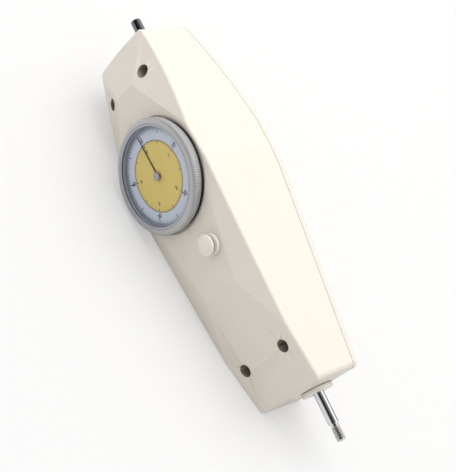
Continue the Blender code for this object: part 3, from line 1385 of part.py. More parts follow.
def bar_outline(start, end, half):
    """A straight bar between two points, square at its ends."""
    along = (end - start).normalized()
    side = Vector((-along.y, along.x)) * half
    return [tuple(start + side), tuple(start - side), tuple(end - side), tuple(end + side)]


def make_lever():
    foot, pivot, tip = lever_places()
    low = LEVER_BACK
    high = LEVER_BACK + LEVER_THICKNESS
    place = facing_place(LEVER_PIVOT_X, LEVER_PIVOT_HEIGHT)
    body = disc("hold_lever", LEVER_BOSS_RADIUS, low, high, STEEL, LEVER_AXIS, place)
    for end in (foot, tip):
        bar = flat("arm", [bar_outline(pivot, end, LEVER_ARM_WIDTH / 2)], low, high, None, GAUGE)
        join(body, bar, drill(LEVER_FOOT_RADIUS, low, high, end.x, end.y))
    cut(body, drill(LEVER_PIN_RADIUS + GAP, low - GAP, high + GAP, LEVER_PIVOT_X, LEVER_PIVOT_HEIGHT))
    head_low = high + GAP
    profile = [
        (0.0, head_low + LEVER_HEAD_HEIGHT),
        (LEVER_HEAD_RADIUS, head_low + LEVER_HEAD_HEIGHT),
        (LEVER_HEAD_RADIUS, head_low),
        (LEVER_PIN_RADIUS, head_low),
        (LEVER_PIN_RADIUS, REAR_PLATE_BACK),
        (0.0, REAR_PLATE_BACK),
    ]
    turned("lever_pin", profile, STEEL, GAUGE, place, FACING, SMALL_STEPS)


def make_inserts():
    low = -PAD_BACK_DEPTH + INSERT_SINK
    high = -PAD_BACK_DEPTH + INSERT_LENGTH
    for number, x in enumerate((INSERT_X, -INSERT_X), 1):
        place = facing_place(x, INSERT_HEIGHT)
        name = f"stand_insert_{number}"
        ring(name, INSERT_RADIUS, INSERT_BORE, low, high, BRASS, GAUGE, place, SMALL_STEPS)


clear_scene()
PARTS = new_collection("push_pull_force_gauge")

IVORY = material("ivory_abs", (0.80, 0.76, 0.67), 0.38)
IVORY_BUTTON = material("ivory_button", (0.86, 0.84, 0.77), 0.3)
IVORY_BUSH = material("ivory_bush", (0.83, 0.80, 0.72), 0.35)
CHROME = material("chrome", (0.75, 0.75, 0.75), 0.14, 1.0)
STEEL = material("steel", (0.56, 0.56, 0.55), 0.32, 1.0)
DARK_STEEL = material("dark_steel", (0.22, 0.22, 0.22), 0.28, 1.0)
SPRING_STEEL = material("spring_steel", (0.35, 0.35, 0.37), 0.35, 1.0)
ALUMINIUM = material("machined_aluminium", (0.72, 0.73, 0.74), 0.35, 1.0)
SATIN = material("satin_aluminium", (0.66, 0.67, 0.68), 0.38, 1.0)
ZINC = material("zinc_plate", (0.60, 0.60, 0.58), 0.42, 1.0)
BRASS = material("brass", (0.78, 0.57, 0.26), 0.3, 1.0)
BRASS_PLATE = material("brass_plate", (0.72, 0.54, 0.27), 0.36, 1.0)
BLACK = material("black", (0.02, 0.02, 0.02), 0.4)
DIAL_WHITE = material("dial_face", (0.62, 0.66, 0.74), 0.5)
GLASS = material("crystal_glass", (0.95, 0.97, 0.98), 0.05, 0.0, 0.15)

GAUGE = axis_empty("gauge_axes")
ROD_AXIS = axis_empty("rod_axis", (0.0, 0.0, CARRIAGE_MIDDLE), GAUGE)
WHEEL_AXIS = axis_empty("wheel_axis", (WHEEL_X, 0.0, WHEEL_HEIGHT), GAUGE)
POINTER_AXIS = axis_empty("pointer_axis", (0.0, 0.0, DIAL_HEIGHT), GAUGE)
BEZEL_AXIS = axis_empty("bezel_axis", (0.0, 0.0, DIAL_HEIGHT), GAUGE)
BUTTON_AXIS = axis_empty("button_axis", (BUTTON_X, 0.0, BUTTON_HEIGHT), GAUGE)
LEVER_AXIS = axis_empty("lever_axis", (LEVER_PIVOT_X, 0.0, LEVER_PIVOT_HEIGHT), GAUGE)

make_front_housing()
make_rear_cover()
make_cover_screws()
make_bushes()
make_rods()
make_carriage()
make_springs()
make_chassis()
make_guide()
make_wheel()
make_centre_arbor()
make_hairspring()
make_rack()
make_movement_plates()
make_pillars()
make_pointer()
make_dial()
make_bezel()
make_dial_seat()
make_button()
make_lever()
make_inserts()
GAUGE.location = (-MIDDLE_ALONG, MIDDLE_DEPTH, REST_HEIGHT)
GAUGE.rotation_euler = (0.0, TILT - math.pi / 2, 0.0)
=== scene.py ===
"""Dressed scene of the push-pull force gauge.

Pieces are made in body axes: +X to the right of the dial, +Y towards the back, +Z along the rod towards
the tail, with zero where the rod's axis meets the housing's lower end. TO_ROW takes them to the frame's
place. A place towards the viewer is (x, height), and depths in front count from the rod's axis along -Y.
All sizes are in metres, but for the surface finishes.
"""

import json
import math

import bmesh
import bpy
from mathutils import Matrix, Vector
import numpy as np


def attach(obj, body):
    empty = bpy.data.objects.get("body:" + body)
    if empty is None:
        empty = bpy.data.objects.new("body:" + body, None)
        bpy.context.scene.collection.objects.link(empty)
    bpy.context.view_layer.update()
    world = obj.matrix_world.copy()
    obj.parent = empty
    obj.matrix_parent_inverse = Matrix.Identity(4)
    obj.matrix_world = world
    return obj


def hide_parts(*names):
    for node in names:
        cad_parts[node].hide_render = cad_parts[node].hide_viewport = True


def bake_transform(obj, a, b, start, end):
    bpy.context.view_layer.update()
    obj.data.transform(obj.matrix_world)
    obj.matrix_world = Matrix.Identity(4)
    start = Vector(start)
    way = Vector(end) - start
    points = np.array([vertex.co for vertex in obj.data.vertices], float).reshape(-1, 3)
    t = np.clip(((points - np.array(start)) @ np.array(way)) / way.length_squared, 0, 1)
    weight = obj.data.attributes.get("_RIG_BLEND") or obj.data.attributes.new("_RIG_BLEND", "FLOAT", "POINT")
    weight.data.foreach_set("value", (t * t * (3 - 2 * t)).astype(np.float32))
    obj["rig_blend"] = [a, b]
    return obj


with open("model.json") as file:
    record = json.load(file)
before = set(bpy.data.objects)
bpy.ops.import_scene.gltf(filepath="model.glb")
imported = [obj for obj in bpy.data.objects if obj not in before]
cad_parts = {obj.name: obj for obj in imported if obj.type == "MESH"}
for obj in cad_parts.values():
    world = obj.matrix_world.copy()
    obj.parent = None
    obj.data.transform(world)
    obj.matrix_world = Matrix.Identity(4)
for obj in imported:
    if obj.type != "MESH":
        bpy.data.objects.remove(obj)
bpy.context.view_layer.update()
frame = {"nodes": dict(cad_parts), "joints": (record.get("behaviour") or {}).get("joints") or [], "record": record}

MM = 0.001

# Clearances, as in the frame
GAP = 0.3 * MM
OVERRUN = 6.0 * MM

# Housing outline
DIAL_HEIGHT = 120.0 * MM
DIAL_PLACE = (0.0, DIAL_HEIGHT)
HOUSING_LENGTH = 190.5 * MM
WIDEST_HEIGHT = 113.2 * MM
BOTTOM_HALF_WIDTH = 22.5 * MM
DIAL_HALF_WIDTH = 29.7 * MM
TOP_HALF_WIDTH = 19.7 * MM
TOP_CURVE_POWER = 2.1
TOP_BOW = 0.9 * MM
BOTTOM_CORNER_RADIUS = 3.2 * MM
TOP_CORNER_RADIUS = 2.6 * MM
EDGE_ROUND = 1.3 * MM
RIM_ROUND = 0.3 * MM
WALL = 2.5 * MM

# Housing depths from the rod's axis
PLATEAU_DEPTH = 28.7 * MM
BOTTOM_FRONT_DEPTH = 18.2 * MM
TOP_FRONT_DEPTH = 19.1 * MM
BOTTOM_BACK_DEPTH = 9.4 * MM
TOP_BACK_DEPTH = 12.2 * MM
PAD_BACK_DEPTH = 19.6 * MM
PAD_START = 103.0 * MM
PAD_END = 127.0 * MM
LID_RIM = 4.0 * MM

# Flat dial face
KINK_HEIGHT = 130.4 * MM
UPPER_SEGMENT_HEIGHT = 166.8 * MM
UPPER_SEGMENT_HALF_WIDTH = 7.2 * MM
LOWER_SEGMENT_HEIGHT = 57.1 * MM
LOWER_SEGMENT_HALF_WIDTH = 12.2 * MM
LOWER_FACET_END = 29.0 * MM

# Wells, screws and openings
WELL_RADIUS = 3.15 * MM
WELL_DEPTH = 7.0 * MM
SCREW_PLACES = [(x * MM, z * MM) for x, z in ((15.0, 21.1), (-15.0, 21.1), (14.9, 169.1), (-14.9, 169.1))]
SCREW_RADIUS = 1.5 * MM
SCREW_LENGTH = 14.0 * MM
SCREW_HEAD_RADIUS = 2.7 * MM
SCREW_HEAD_HEIGHT = 2.0 * MM
SCREW_SLOT_LENGTH = 1.6 * MM
SCREW_SLOT_WIDTH = 0.35 * MM
SCREW_SLOT_DEPTH = 1.1 * MM
POST_RADIUS = 4.4 * MM
POCKET_RADIUS = 28.7 * MM
POCKET_FLOOR = 27.7 * MM
DIAL_OPENING = 17.5 * MM
OPENING_BACK = 22.0 * MM
SEAT_SCREW_CIRCLE = 22.4 * MM
SEAT_SCREWS = 3
SMALL_SCREW_BORE = 1.15 * MM
TUBE_HOLE = 4.2 * MM
BUSH_RADIUS = 5.0 * MM
INSERT_PLACES = [(x * MM, 115.0 * MM) for x in (18.0, -18.0)]
INSERT_RADIUS = 2.3 * MM
INSERT_LENGTH = 5.0 * MM
INSERT_BOSS_RADIUS = 4.2 * MM
CHASSIS_SCREWS = [(x * MM, z * MM) for x, z in ((-15.0, 62.0), (15.0, 62.0), (0.0, 150.0))]
CHASSIS_BACK = 10.5 * MM
CHASSIS_BOSS_RADIUS = 3.6 * MM
CHASSIS_SCREW_BORE_DEPTH = 4.0 * MM

# Rods and bushes
ROD_RADIUS = 2.7 * MM
ROD_JOINT_HEIGHT = 103.0 * MM
ROD_END = -26.9 * MM
THREAD_TOP = -19.8 * MM
ROD_SHOULDER = -18.5 * MM
RELIEF_RADIUS = 1.9 * MM
THREAD_RADIUS = 2.4 * MM
THREAD_DEPTH = 0.48 * MM
THREAD_PITCH = 1.15 * MM
THREAD_FADE = 0.7 * MM
THREAD_SLOPE = 1.25
THREAD_CREST = 0.15
THREAD_ROWS = 8
TAIL_END = 207.7 * MM
ROD_CHAMFER = 0.4 * MM
FRONT_COLLAR_RADIUS = 8.0 * MM
FRONT_COLLAR_LOW = -2.4 * MM
FRONT_BUSH_TOP = 20.7 * MM
TAIL_COLLAR_RADIUS = 6.5 * MM
TAIL_COLLAR_LOW = 191.7 * MM
TAIL_COLLAR_HEIGHT = 1.8 * MM
TAIL_TUBE_LOW = 185.5 * MM
COLLAR_ROUND = 0.6 * MM
BORE_ROUND = 0.25 * MM

# Bezel, crystal and dial
BEZEL_RADIUS = 28.3 * MM
BEZEL_FRONT = 35.15 * MM
BEZEL_BASE = 28.0 * MM
BEZEL_OPENING = 24.2 * MM
BEZEL_BORE = 26.6 * MM
BEZEL_NECK_RADIUS = 27.3 * MM
BEZEL_NECK_TOP = 29.5 * MM
BEZEL_LIP = 0.4 * MM
BEZEL_LIP_WIDTH = 0.7 * MM
BEZEL_SHOULDER_RADIUS = 27.9 * MM
SHOULDER_DEPTH = 33.9 * MM
KNURL_BACK = 30.2 * MM
KNURL_DEPTH = 0.26 * MM
BARREL_STEPS = 6
BARREL_DROP = 0.45 * MM
KNURL_RIDGES = 170
KNURL_WAVE = (0.0, 0.5, 1.0, 0.5)
CRYSTAL_RADIUS = 25.0 * MM
CRYSTAL_BACK = 33.85 * MM
CRYSTAL_FRONT = 34.45 * MM
GASKET_BACK = 32.95 * MM
GASKET_GAP = 0.08 * MM
DIAL_RADIUS = 25.0 * MM
DIAL_BORE = 1.65 * MM
DIAL_BACK = 31.4 * MM
DIAL_FRONT = 32.0 * MM
PRINT_RISE = 0.02 * MM
INK_FRONT = DIAL_FRONT + PRINT_RISE * 3
SCALE_OUTER = 22.6 * MM
SCALE_INNER = 17.3 * MM
SCALE_LINE = 0.28 * MM
NUMBER_BOLDNESS = 0.035
NUMBERS = 5
NUMBER_TURN = 72.0
GRADUATIONS = 100
INNER_MARK_SHARE = 0.8

# Each row's step from number to number, its letter size and the radius of its circle
NUMBER_ROWS = ((10, 2.9 * MM, 19.35 * MM), (1, 2.7 * MM, 13.4 * MM))

# How often a mark comes, its length and its width
MARKS = ((10, 1.9 * MM, 0.46 * MM), (2, 1.25 * MM, 0.24 * MM), (1, 0.8 * MM, 0.24 * MM))

# Pointer
POINTER_LENGTH = 22.6 * MM
POINTER_TIP = 0.16 * MM
POINTER_ROOT = 0.45 * MM
POINTER_BACK = 32.3 * MM
POINTER_FRONT = 32.65 * MM
POINTER_BOSS = 1.6 * MM
BLADE_START = 0.9
POINTER_TURN = 3.4
ARBOR_BORE = 1.0 * MM
ARBOR_END = 32.95 * MM
HUB_RADIUS = 2.2 * MM
HUB_BACK = 32.95 * MM
HUB_FRONT = 33.55 * MM
HUB_ROUND = 0.35 * MM

# Push button
BUTTON_PLACE = (9.6 * MM, 77.6 * MM)
CAP_RADIUS = 5.1 * MM
CAP_FRONT = 34.2 * MM
CAP_BACK = 32.4 * MM
CAP_CROWN = 0.55 * MM
CAP_EDGE_DROP = 1.3
CAP_SOCKET = 33.0 * MM
NECK_RADIUS = 3.0 * MM
NECK_BORE = 2.3 * MM
NECK_BACK = 29.5 * MM
STEM_BORE = 1.5 * MM
BUTTON_COLLAR_RADIUS = 5.3 * MM
BUTTON_COLLAR_FRONT = 30.4 * MM
BUTTON_COLLAR_BACK = 29.0 * MM
BUTTON_TUBE_RADIUS = 3.9 * MM
BUTTON_TUBE_BACK = 24.2 * MM
BUTTON_FLOOR_FRONT = 27.0 * MM
BUTTON_FLOOR_BACK = 25.6 * MM
BUTTON_POCKET = 3.3 * MM

# How finely round shapes are drawn
WIDE_STEPS = 192
ROUND_STEPS = 96
SMALL_STEPS = 48
FINE_ARC = 14
CORNER_ARC = 6
SIDE_STEPS = 30
CUTTER_ARC = 6
CUTTER_SIDE_STEPS = 10
RIM_SEGMENTS = 3
FILLET_STEPS = 5
EDGE_SEGMENTS = 6

# How close points and faces count as the same, and which are shaded together
MERGE = 0.001 * MM
SAME_PLANE = math.radians(0.02)
FLAT_ANGLE = math.radians(0.25)
EDGE_ANGLE = math.radians(38)
SHARP = math.radians(32)
CURVE_STEP = math.radians(3)
BROAD = 1.5 * MM

# Camera, measured in body axes
LENS = 87.957
SENSOR = 36.0
CAMERA_PLACE = Vector((373.11, -370.0, -45.59)) * MM
CAMERA_RIGHT = Vector((0.5495, 0.7182, -0.4268))
CAMERA_DOWN = Vector((-0.461, -0.1654, -0.8719))
CAMERA_FORWARD = Vector((-0.6968, 0.6759, 0.2402))

# Surface detail
CLOUD_DETAIL = 4.0
GRAIN_DETAIL = 3.0
PATCH_DETAIL = 6.0
PATCH_SCALE = 0.6
PATCH_LOW = 0.35
PATCH_HIGH = 0.7
GLASS_MIRROR = (0.96, 0.98, 1.0, 1.0)
GLASS_CLEAR = (0.985, 0.99, 0.995, 1.0)
GLASS_SMOOTH = 0.015
GLASS_SMEARED = 0.06
SMEAR_SCALE = 140.0
SMEAR_DETAIL = 5.0
GLANCE_START = 0.45
MIRROR_LEAST = 0.022
MIRROR_MOST = 0.5

# Studio
FLOOR_SIZE = 6.0
KEY_SIZE = 1.5
KEY_PLACE = Vector((-0.22, 0.24, 1.32))
KEY_AIM = Vector((0.0, 0.0, 0.02))
KEY_POWER = 14.3
SKY_LEVEL = 0.83
SKY_LOW = 0.93
SKY_FADE_END = 0.4
SKY_TAIL_SIDE = 1.33
SKY_ROD_SIDE = 0.77
FLOOR_LIFT = 0.4
FLOOR_WHITE = 0.985

# What metal mirrors: the level of light against the Y of its direction, from its least value up
MIRROR_EDGE = 0.7
MIRROR_STOPS = [(-0.955, 0.7), (-0.935, 0.02), (-0.66, 0.02), (-0.3, 0.2), (0.08, 0.42)]
MIRROR_STOPS += [(0.2, 0.6), (0.3, 1.55), (0.78, 1.55), (0.93, 0.15)]


# Body axes from the frame's joints
JOINTS = {joint["name"]: joint for joint in frame["joints"]}
UP = Vector(JOINTS["rod_slide"]["axis"]).normalized()
BACK = -Vector(JOINTS["pointer_turn"]["axis"]).normalized()
RIGHT = BACK.cross(UP)
ORIGIN = Vector(JOINTS["pointer_turn"]["pos_m"]) - UP * DIAL_HEIGHT
TO_ROW = Matrix.Translation(ORIGIN) @ Matrix((RIGHT, BACK, UP)).transposed().to_4x4()
FACING = Matrix.Rotation(math.pi / 2, 4, "X")


# Mesh work


def mesh_of(name, shape):
    mesh = bpy.data.meshes.new(name)
    shape.to_mesh(mesh)
    shape.free()
    return mesh


def outward_mesh(name, shape):
    bmesh.ops.recalc_face_normals(shape, faces=shape.faces)
    return mesh_of(name, shape)


def rebuilt(mesh, change):
    shape = bmesh.new()
    shape.from_mesh(mesh)
    change(shape)
    shape.to_mesh(mesh)
    shape.free()


def weld(shape):
    bmesh.ops.remove_doubles(shape, verts=shape.verts, dist=MERGE)


def triangulate(shape):
    bmesh.ops.triangulate(shape, faces=shape.faces)


def tidy_faces(shape):
    """Welds points, makes each flat face whole and drops edges that carry no face."""
    weld(shape)
    bmesh.ops.dissolve_limit(shape, angle_limit=SAME_PLANE, verts=shape.verts, edges=shape.edges)
    loose = [edge for edge in shape.edges if edge.is_wire]
    bmesh.ops.delete(shape, geom=loose, context="EDGES")


def smooth(mesh):
    mesh.shade_smooth()
    mesh.set_sharp_from_angle(angle=SHARP)


def linked(name, data):
    item = bpy.data.objects.new(name, data)
    bpy.context.scene.collection.objects.link(item)
    return item


def tool(mesh):
    """An object to cut or to be cut. The exact Boolean is only reliable on triangles."""
    rebuilt(mesh, triangulate)
    return linked(mesh.name, mesh)


def evaluated_mesh(item):
    graph = bpy.context.evaluated_depsgraph_get()
    return bpy.data.meshes.new_from_object(item.evaluated_get(graph))


def cut(item, *others):
    """Takes closed meshes away from another, one by one. They are used up."""
    for other in others:
        step = item.modifiers.new("Cut", "BOOLEAN")
        step.operation = "DIFFERENCE"
        step.object = other
        mesh = evaluated_mesh(item)
        item.modifiers.clear()
        item.data = mesh
        rebuilt(mesh, tidy_faces)
        rebuilt(mesh, triangulate)
        bpy.data.objects.remove(other)


def piece(node, mesh, body, slot, *finishes):
    """Puts a finished mesh in the row frame, on its body and in the place of its CAD node."""
    mesh.transform(TO_ROW)
    item = linked(node + "_fine", mesh)
    places = [face.material_index for face in mesh.polygons]
    mesh.materials.clear()
    for made in finishes:
        mesh.materials.append(made)
    mesh.polygons.foreach_set("material_index", places)
    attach(item, body)
    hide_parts(node)


def joined(parts):
    """One mesh of several, each with its place among the piece's materials."""
    shape = bmesh.new()
    for mesh, index in parts:
        start = len(shape.faces)
        shape.from_mesh(mesh)
        shape.faces.ensure_lookup_table()
        for face in shape.faces[start:]:
            face.material_index = index
    mesh = mesh_of("joined", shape)
    smooth(mesh)
    return mesh


def filleted(corners):
    """Profile points of (radius, height) corners. A third number rounds a corner by that radius."""
    points = []
    for index, (radius, height, *fillet) in enumerate(corners):
        if not fillet:
            points.append((radius, height))
            continue
        here = Vector((radius, height))
        before = Vector(corners[index - 1][:2]) - here
        after = Vector(corners[(index + 1) % len(corners)][:2]) - here
        half = before.angle(after) / 2
        reach = fillet[0] / math.tan(half)
        middle = (before.normalized() + after.normalized()).normalized()
        centre = here + middle * (fillet[0] / math.sin(half))
        start = here + before.normalized() * reach - centre
        sweep = (here + after.normalized() * reach - centre).angle_signed(start)
        for step in range(FILLET_STEPS + 1):
            turn = Matrix.Rotation(sweep * step / FILLET_STEPS, 2)
            points.append(tuple(centre + turn @ start))
    return points


def ring_points(shape, radii, height):
    """Points about Z, one for each radius."""
    points = []
    for step, radius in enumerate(radii):
        angle = math.tau * step / len(radii)
        points.append(shape.verts.new((radius * math.cos(angle), radius * math.sin(angle), height)))
    return points


def bridge(shape, rings):
    """Faces from each ring to the next, with three corners where a ring has shrunk to a point."""
    for first, second in zip(rings, rings[1:]):
        for step in range(len(first)):
            after = (step + 1) % len(first)
            corners = [first[step], first[after], second[after], second[step]]
            corners = [vert for place, vert in enumerate(corners) if vert not in corners[:place]]
            if len(corners) > 2:
                shape.faces.new(corners)


def capped_mesh(name, shape, rings):
    bridge(shape, rings)
    shape.faces.new(rings[0][::-1])
    shape.faces.new(rings[-1])
    return outward_mesh(name, shape)


def turned(profile, steps=ROUND_STEPS, place=None, ripple=None):
    """A profile of (radius, height) turned about Z, or about the line towards the viewer at a place.

    A profile that doesn't start on the axis is closed to a ring.
    """
    shape = bmesh.new()
    rings = []
    for index, (radius, height) in enumerate(profile):
        if radius < MERGE:
            rings.append([shape.verts.new((0.0, 0.0, height))] * steps)
            continue
        radii = [radius - (ripple(index, step) if ripple else 0.0) for step in range(steps)]
        rings.append(ring_points(shape, radii, height))
    if profile[0][0] > MERGE:
        rings.append(rings[0])
    bridge(shape, rings)
    mesh = outward_mesh("turned", shape)
    if place:
        mesh.transform(Matrix.Translation((place[0], 0.0, place[1])) @ FACING)
    smooth(mesh)
    return mesh


def turned_piece(node, body, slot, made, corners, steps=ROUND_STEPS, place=None):
    piece(node, turned(filleted(corners), steps, place), body, slot, made)


def drill(radius, low, high, place=None, steps=SMALL_STEPS):
    """A round cutter along the rod, or along the line towards the viewer at a place."""
    return tool(turned([(0.0, high), (radius, high), (radius, low), (0.0, low)], steps, place))


def box_between(low, high):
    shape = bmesh.new()
    bmesh.ops.create_cube(shape, size=1.0)
    bmesh.ops.scale(shape, vec=Vector(high) - Vector(low), verts=shape.verts)
    bmesh.ops.translate(shape, vec=(Vector(low) + Vector(high)) / 2, verts=shape.verts)
    return tool(mesh_of("box", shape))


def rectangle(name, left, bottom, right, top):
    mesh = bpy.data.meshes.new(name)
    corners = [(left, bottom, 0.0), (right, bottom, 0.0), (right, top, 0.0), (left, top, 0.0)]
    mesh.from_pydata(corners, [], [(0, 1, 2, 3)])
    return mesh


# Node materials


def fill(tree, socket, value):
    if isinstance(value, bpy.types.NodeSocket):
        tree.links.new(value, socket)
    else:
        socket.default_value = value


def add(tree, kind, numbered=None, **named):
    """A new node. Named values go to its settings and sockets, numbered ones to its sockets."""
    node = tree.nodes.new(kind)
    sockets = {socket.name.lower(): socket for socket in reversed(node.inputs)}
    for key, value in named.items():
        socket = sockets.get(key.replace("_", " "))
        if socket is None:
            setattr(node, key, value)
        else:
            fill(tree, socket, value)
    for index, value in (numbered or {}).items():
        fill(tree, node.inputs[index], value)
    return node


def mixed_colour(tree, share, first, second, **settings):
    numbered = {0: share, 6: first, 7: second}
    return add(tree, "ShaderNodeMix", numbered, data_type="RGBA", **settings).outputs[2]


def mixed_surface(tree, share, first, second):
    """Makes the material's surface the first shader, and the second one by its share."""
    mixed = add(tree, "ShaderNodeMixShader", {0: share, 1: first, 2: second})
    tree.links.new(mixed.outputs[0], tree.nodes["Material Output"].inputs["Surface"])


def mapped(tree, value, **limits):
    return add(tree, "ShaderNodeMapRange", value=value, **limits).outputs[0]


def noise(tree, place, scale, detail):
    return add(tree, "ShaderNodeTexNoise", vector=place, scale=scale, detail=detail).outputs["Fac"]


def tone(colour, factor):
    return (*(min(1.0, channel * factor) for channel in colour), 1.0)


def new_material(name):
    made = bpy.data.materials.new(name)
    made.use_nodes = True
    return made, made.node_tree, made.node_tree.nodes["Principled BSDF"]


def place_vector(tree, stretch, rings):
    """Place in body axes, and beside it the same stretched, or the distance from the dial's axis."""
    row = add(tree, "ShaderNodeTexCoord").outputs["Object"]
    turn = TO_ROW.to_euler()
    place = add(
        tree, "ShaderNodeMapping", vector=row, vector_type="TEXTURE", location=ORIGIN, rotation=turn
    ).outputs[0]
    if not rings:
        return place, add(tree, "ShaderNodeMapping", vector=place, scale=stretch).outputs[0]
    centred = add(tree, "ShaderNodeMapping", vector=place, location=(0.0, 0.0, -DIAL_HEIGHT)).outputs[0]
    flat = {0: centred, 1: (1.0, 0.0, 1.0)}
    flattened = add(tree, "ShaderNodeVectorMath", flat, operation="MULTIPLY").outputs[0]
    length = add(tree, "ShaderNodeVectorMath", {0: flattened}, operation="LENGTH").outputs["Value"]
    return place, add(tree, "ShaderNodeCombineXYZ", x=length).outputs[0]


def finish(
    name,
    colour,
    rough,
    metallic=0.0,
    mottle=0.03,
    mottle_size=9.0,
    grain_size=0.35,
    grain_depth=0.004,
    rough_spread=0.06,
    stretch=(1.0, 1.0, 1.0),
    rings=False,
    wear=0.0,
):
    """A surface with cloudy colour, fine grain and wear in patches. Sizes are in millimetres."""
    made, tree, shader = new_material(name)
    fill(tree, shader.inputs["Metallic"], metallic)
    place, lined = place_vector(tree, stretch, rings)
    cloud = noise(tree, place, 1.0 / (mottle_size * MM), CLOUD_DETAIL)
    grain = noise(tree, lined, 1.0 / (grain_size * MM), GRAIN_DETAIL)
    patches = noise(tree, place, PATCH_SCALE / (mottle_size * MM), PATCH_DETAIL)
    clouded = mixed_colour(tree, cloud, tone(colour, 1.0 - mottle), tone(colour, 1.0 + mottle))
    specks = mapped(tree, grain, to_min=1.0 - mottle, to_max=1.0)
    speckled = mixed_colour(tree, 1.0, clouded, specks, blend_type="MULTIPLY")
    fill(tree, shader.inputs["Base Color"], speckled)
    low, high = rough - rough_spread, rough + rough_spread + wear
    worn = mapped(tree, patches, from_min=PATCH_LOW, from_max=PATCH_HIGH, to_min=low, to_max=high)
    fine = mapped(tree, grain, to_min=-rough_spread, to_max=rough_spread)
    total = add(tree, "ShaderNodeMath", {0: worn, 1: fine}, operation="ADD", use_clamp=True)
    fill(tree, shader.inputs["Roughness"], total.outputs[0])
    bump = add(tree, "ShaderNodeBump", height=grain, distance=grain_depth * MM, strength=1.0)
    fill(tree, shader.inputs["Normal"], bump.outputs[0])
    return made


def crystal_finish():
    """Clear glass: it mirrors a little by angle and lets the rest through, with faint wiping marks."""
    made, tree, shader = new_material("crystal_glass")
    fill(tree, shader.inputs["Base Color"], GLASS_MIRROR)
    fill(tree, shader.inputs["Metallic"], 1.0)
    place = add(tree, "ShaderNodeTexCoord").outputs["Object"]
    smear = noise(tree, place, SMEAR_SCALE, SMEAR_DETAIL)
    fill(tree, shader.inputs["Roughness"], mapped(tree, smear, to_min=GLASS_SMOOTH, to_max=GLASS_SMEARED))
    clear = add(tree, "ShaderNodeBsdfTransparent", color=GLASS_CLEAR)
    facing = add(tree, "ShaderNodeLayerWeight", blend=0.5).outputs["Facing"]
    mirror = mapped(tree, facing, from_min=GLANCE_START, to_min=MIRROR_LEAST, to_max=MIRROR_MOST)
    mixed_surface(tree, mirror, clear.outputs[0], shader.outputs[0])
    return made


AROUND_ROD = (0.03, 0.03, 1.0)
BRUSHED = (0.05, 0.05, 1.0)

IVORY = finish("ivory_abs", (0.72, 0.666, 0.593), 0.36, mottle=0.012, grain_size=0.5, wear=0.08)
# Painted shade: a dark brown for the walls and floors of the screw wells, standing for the shade that falls in
# them
WELL_PAINTED_SHADE = finish("ivory_well_painted_shade", (0.33, 0.30, 0.26), 0.5, mottle=0.05, grain_size=0.4, wear=0.1)
IVORY_LID = finish("ivory_abs_lid", (0.71, 0.655, 0.58), 0.38, mottle=0.015, grain_size=0.5, wear=0.08)
IVORY_TRIM = finish("ivory_trim", (0.76, 0.73, 0.67), 0.28, mottle=0.015, grain_size=0.6, wear=0.06)

# Name, colour, roughness, metallic, mottle, its size, grain's size and depth, spread of the roughness
CHROME = finish("chrome", (0.78, 0.78, 0.79), 0.10, 1.0, 0.02, 6.0, 0.16, 0.0006, 0.03, AROUND_ROD, wear=0.05)
THREAD_STEEL = finish(
    "rolled_thread", (0.62, 0.61, 0.60), 0.24, 1.0, 0.08, 2.0, 0.12, 0.002, 0.06, AROUND_ROD, wear=0.08
)
DARK_STEEL = finish(
    "dark_ground_steel", (0.20, 0.20, 0.205), 0.22, 1.0, 0.08, 5.0, 0.14, 0.001, 0.05, AROUND_ROD
)
SATIN = finish("satin_aluminium", (0.49, 0.49, 0.495), 0.45, 0.55, 0.03, 6.0, 0.11, 0.0015, 0.05, rings=True)
# Painted shade: a dark slate for the bezel's inner wall and grooves, standing for the shade inside the bezel
BEZEL_INSIDE_PAINTED_SHADE = finish("bezel_inside_painted_shade", (0.30, 0.315, 0.37), 0.55, 0.0, 0.05, 3.0, 0.12, 0.002)
# Painted shadow: near black for the bezel's neck, standing for the shadow in the gap between the bezel and the
# housing's pocket
PAINTED_NECK_SHADOW = finish("painted_shadow_neck", (0.02, 0.02, 0.022), 0.6, 0.0, 0.1, 3.0, 0.12, 0.002)
HUB_METAL = finish("hub_nickel", (0.40, 0.38, 0.39), 0.3, 1.0, 0.03, 1.0, 0.06, 0.001, 0.05, rings=True)
STEEL = finish("steel", (0.50, 0.50, 0.49), 0.30, 1.0, 0.06, 2.5, 0.15, 0.002, 0.06, BRUSHED)
SCREW_STEEL = finish("zinc_screw", (0.42, 0.42, 0.41), 0.34, 1.0, 0.08, 1.2, 0.1, 0.003, 0.08)
SPRING_STEEL = finish("spring_wire", (0.33, 0.33, 0.35), 0.33, 1.0, 0.08, 2.0, 0.12, 0.002)
ALUMINIUM = finish(
    "machined_aluminium", (0.68, 0.69, 0.70), 0.33, 1.0, 0.04, 5.0, 0.18, 0.003, 0.06, BRUSHED
)
ZINC = finish("zinc_plate", (0.55, 0.55, 0.52), 0.38, 1.0, 0.09, 3.5, 0.3, 0.003, 0.08, wear=0.1)
BRASS = finish("machined_brass", (0.75, 0.53, 0.24), 0.27, 1.0, 0.06, 3.0, 0.12, 0.002, 0.06, rings=True)
BRASS_PLATE = finish("brass_plate", (0.70, 0.51, 0.25), 0.34, 1.0, 0.06, 5.0, 0.16, 0.003, 0.06, BRUSHED)
POINTER_BLACK = finish("pointer_black", (0.018, 0.016, 0.016), 0.30, 0.0, 0.2, 1.0, 0.08, 0.002)
RUBBER = finish("grey_rubber", (0.46, 0.47, 0.52), 0.62, 0.0, 0.2, 2.0, 0.15, 0.006, 0.08)
SCALE_BLUE = finish("scale_blue_white", (0.58, 0.625, 0.72), 0.42, 0.0, 0.03, 3.0, 0.12, 0.002)
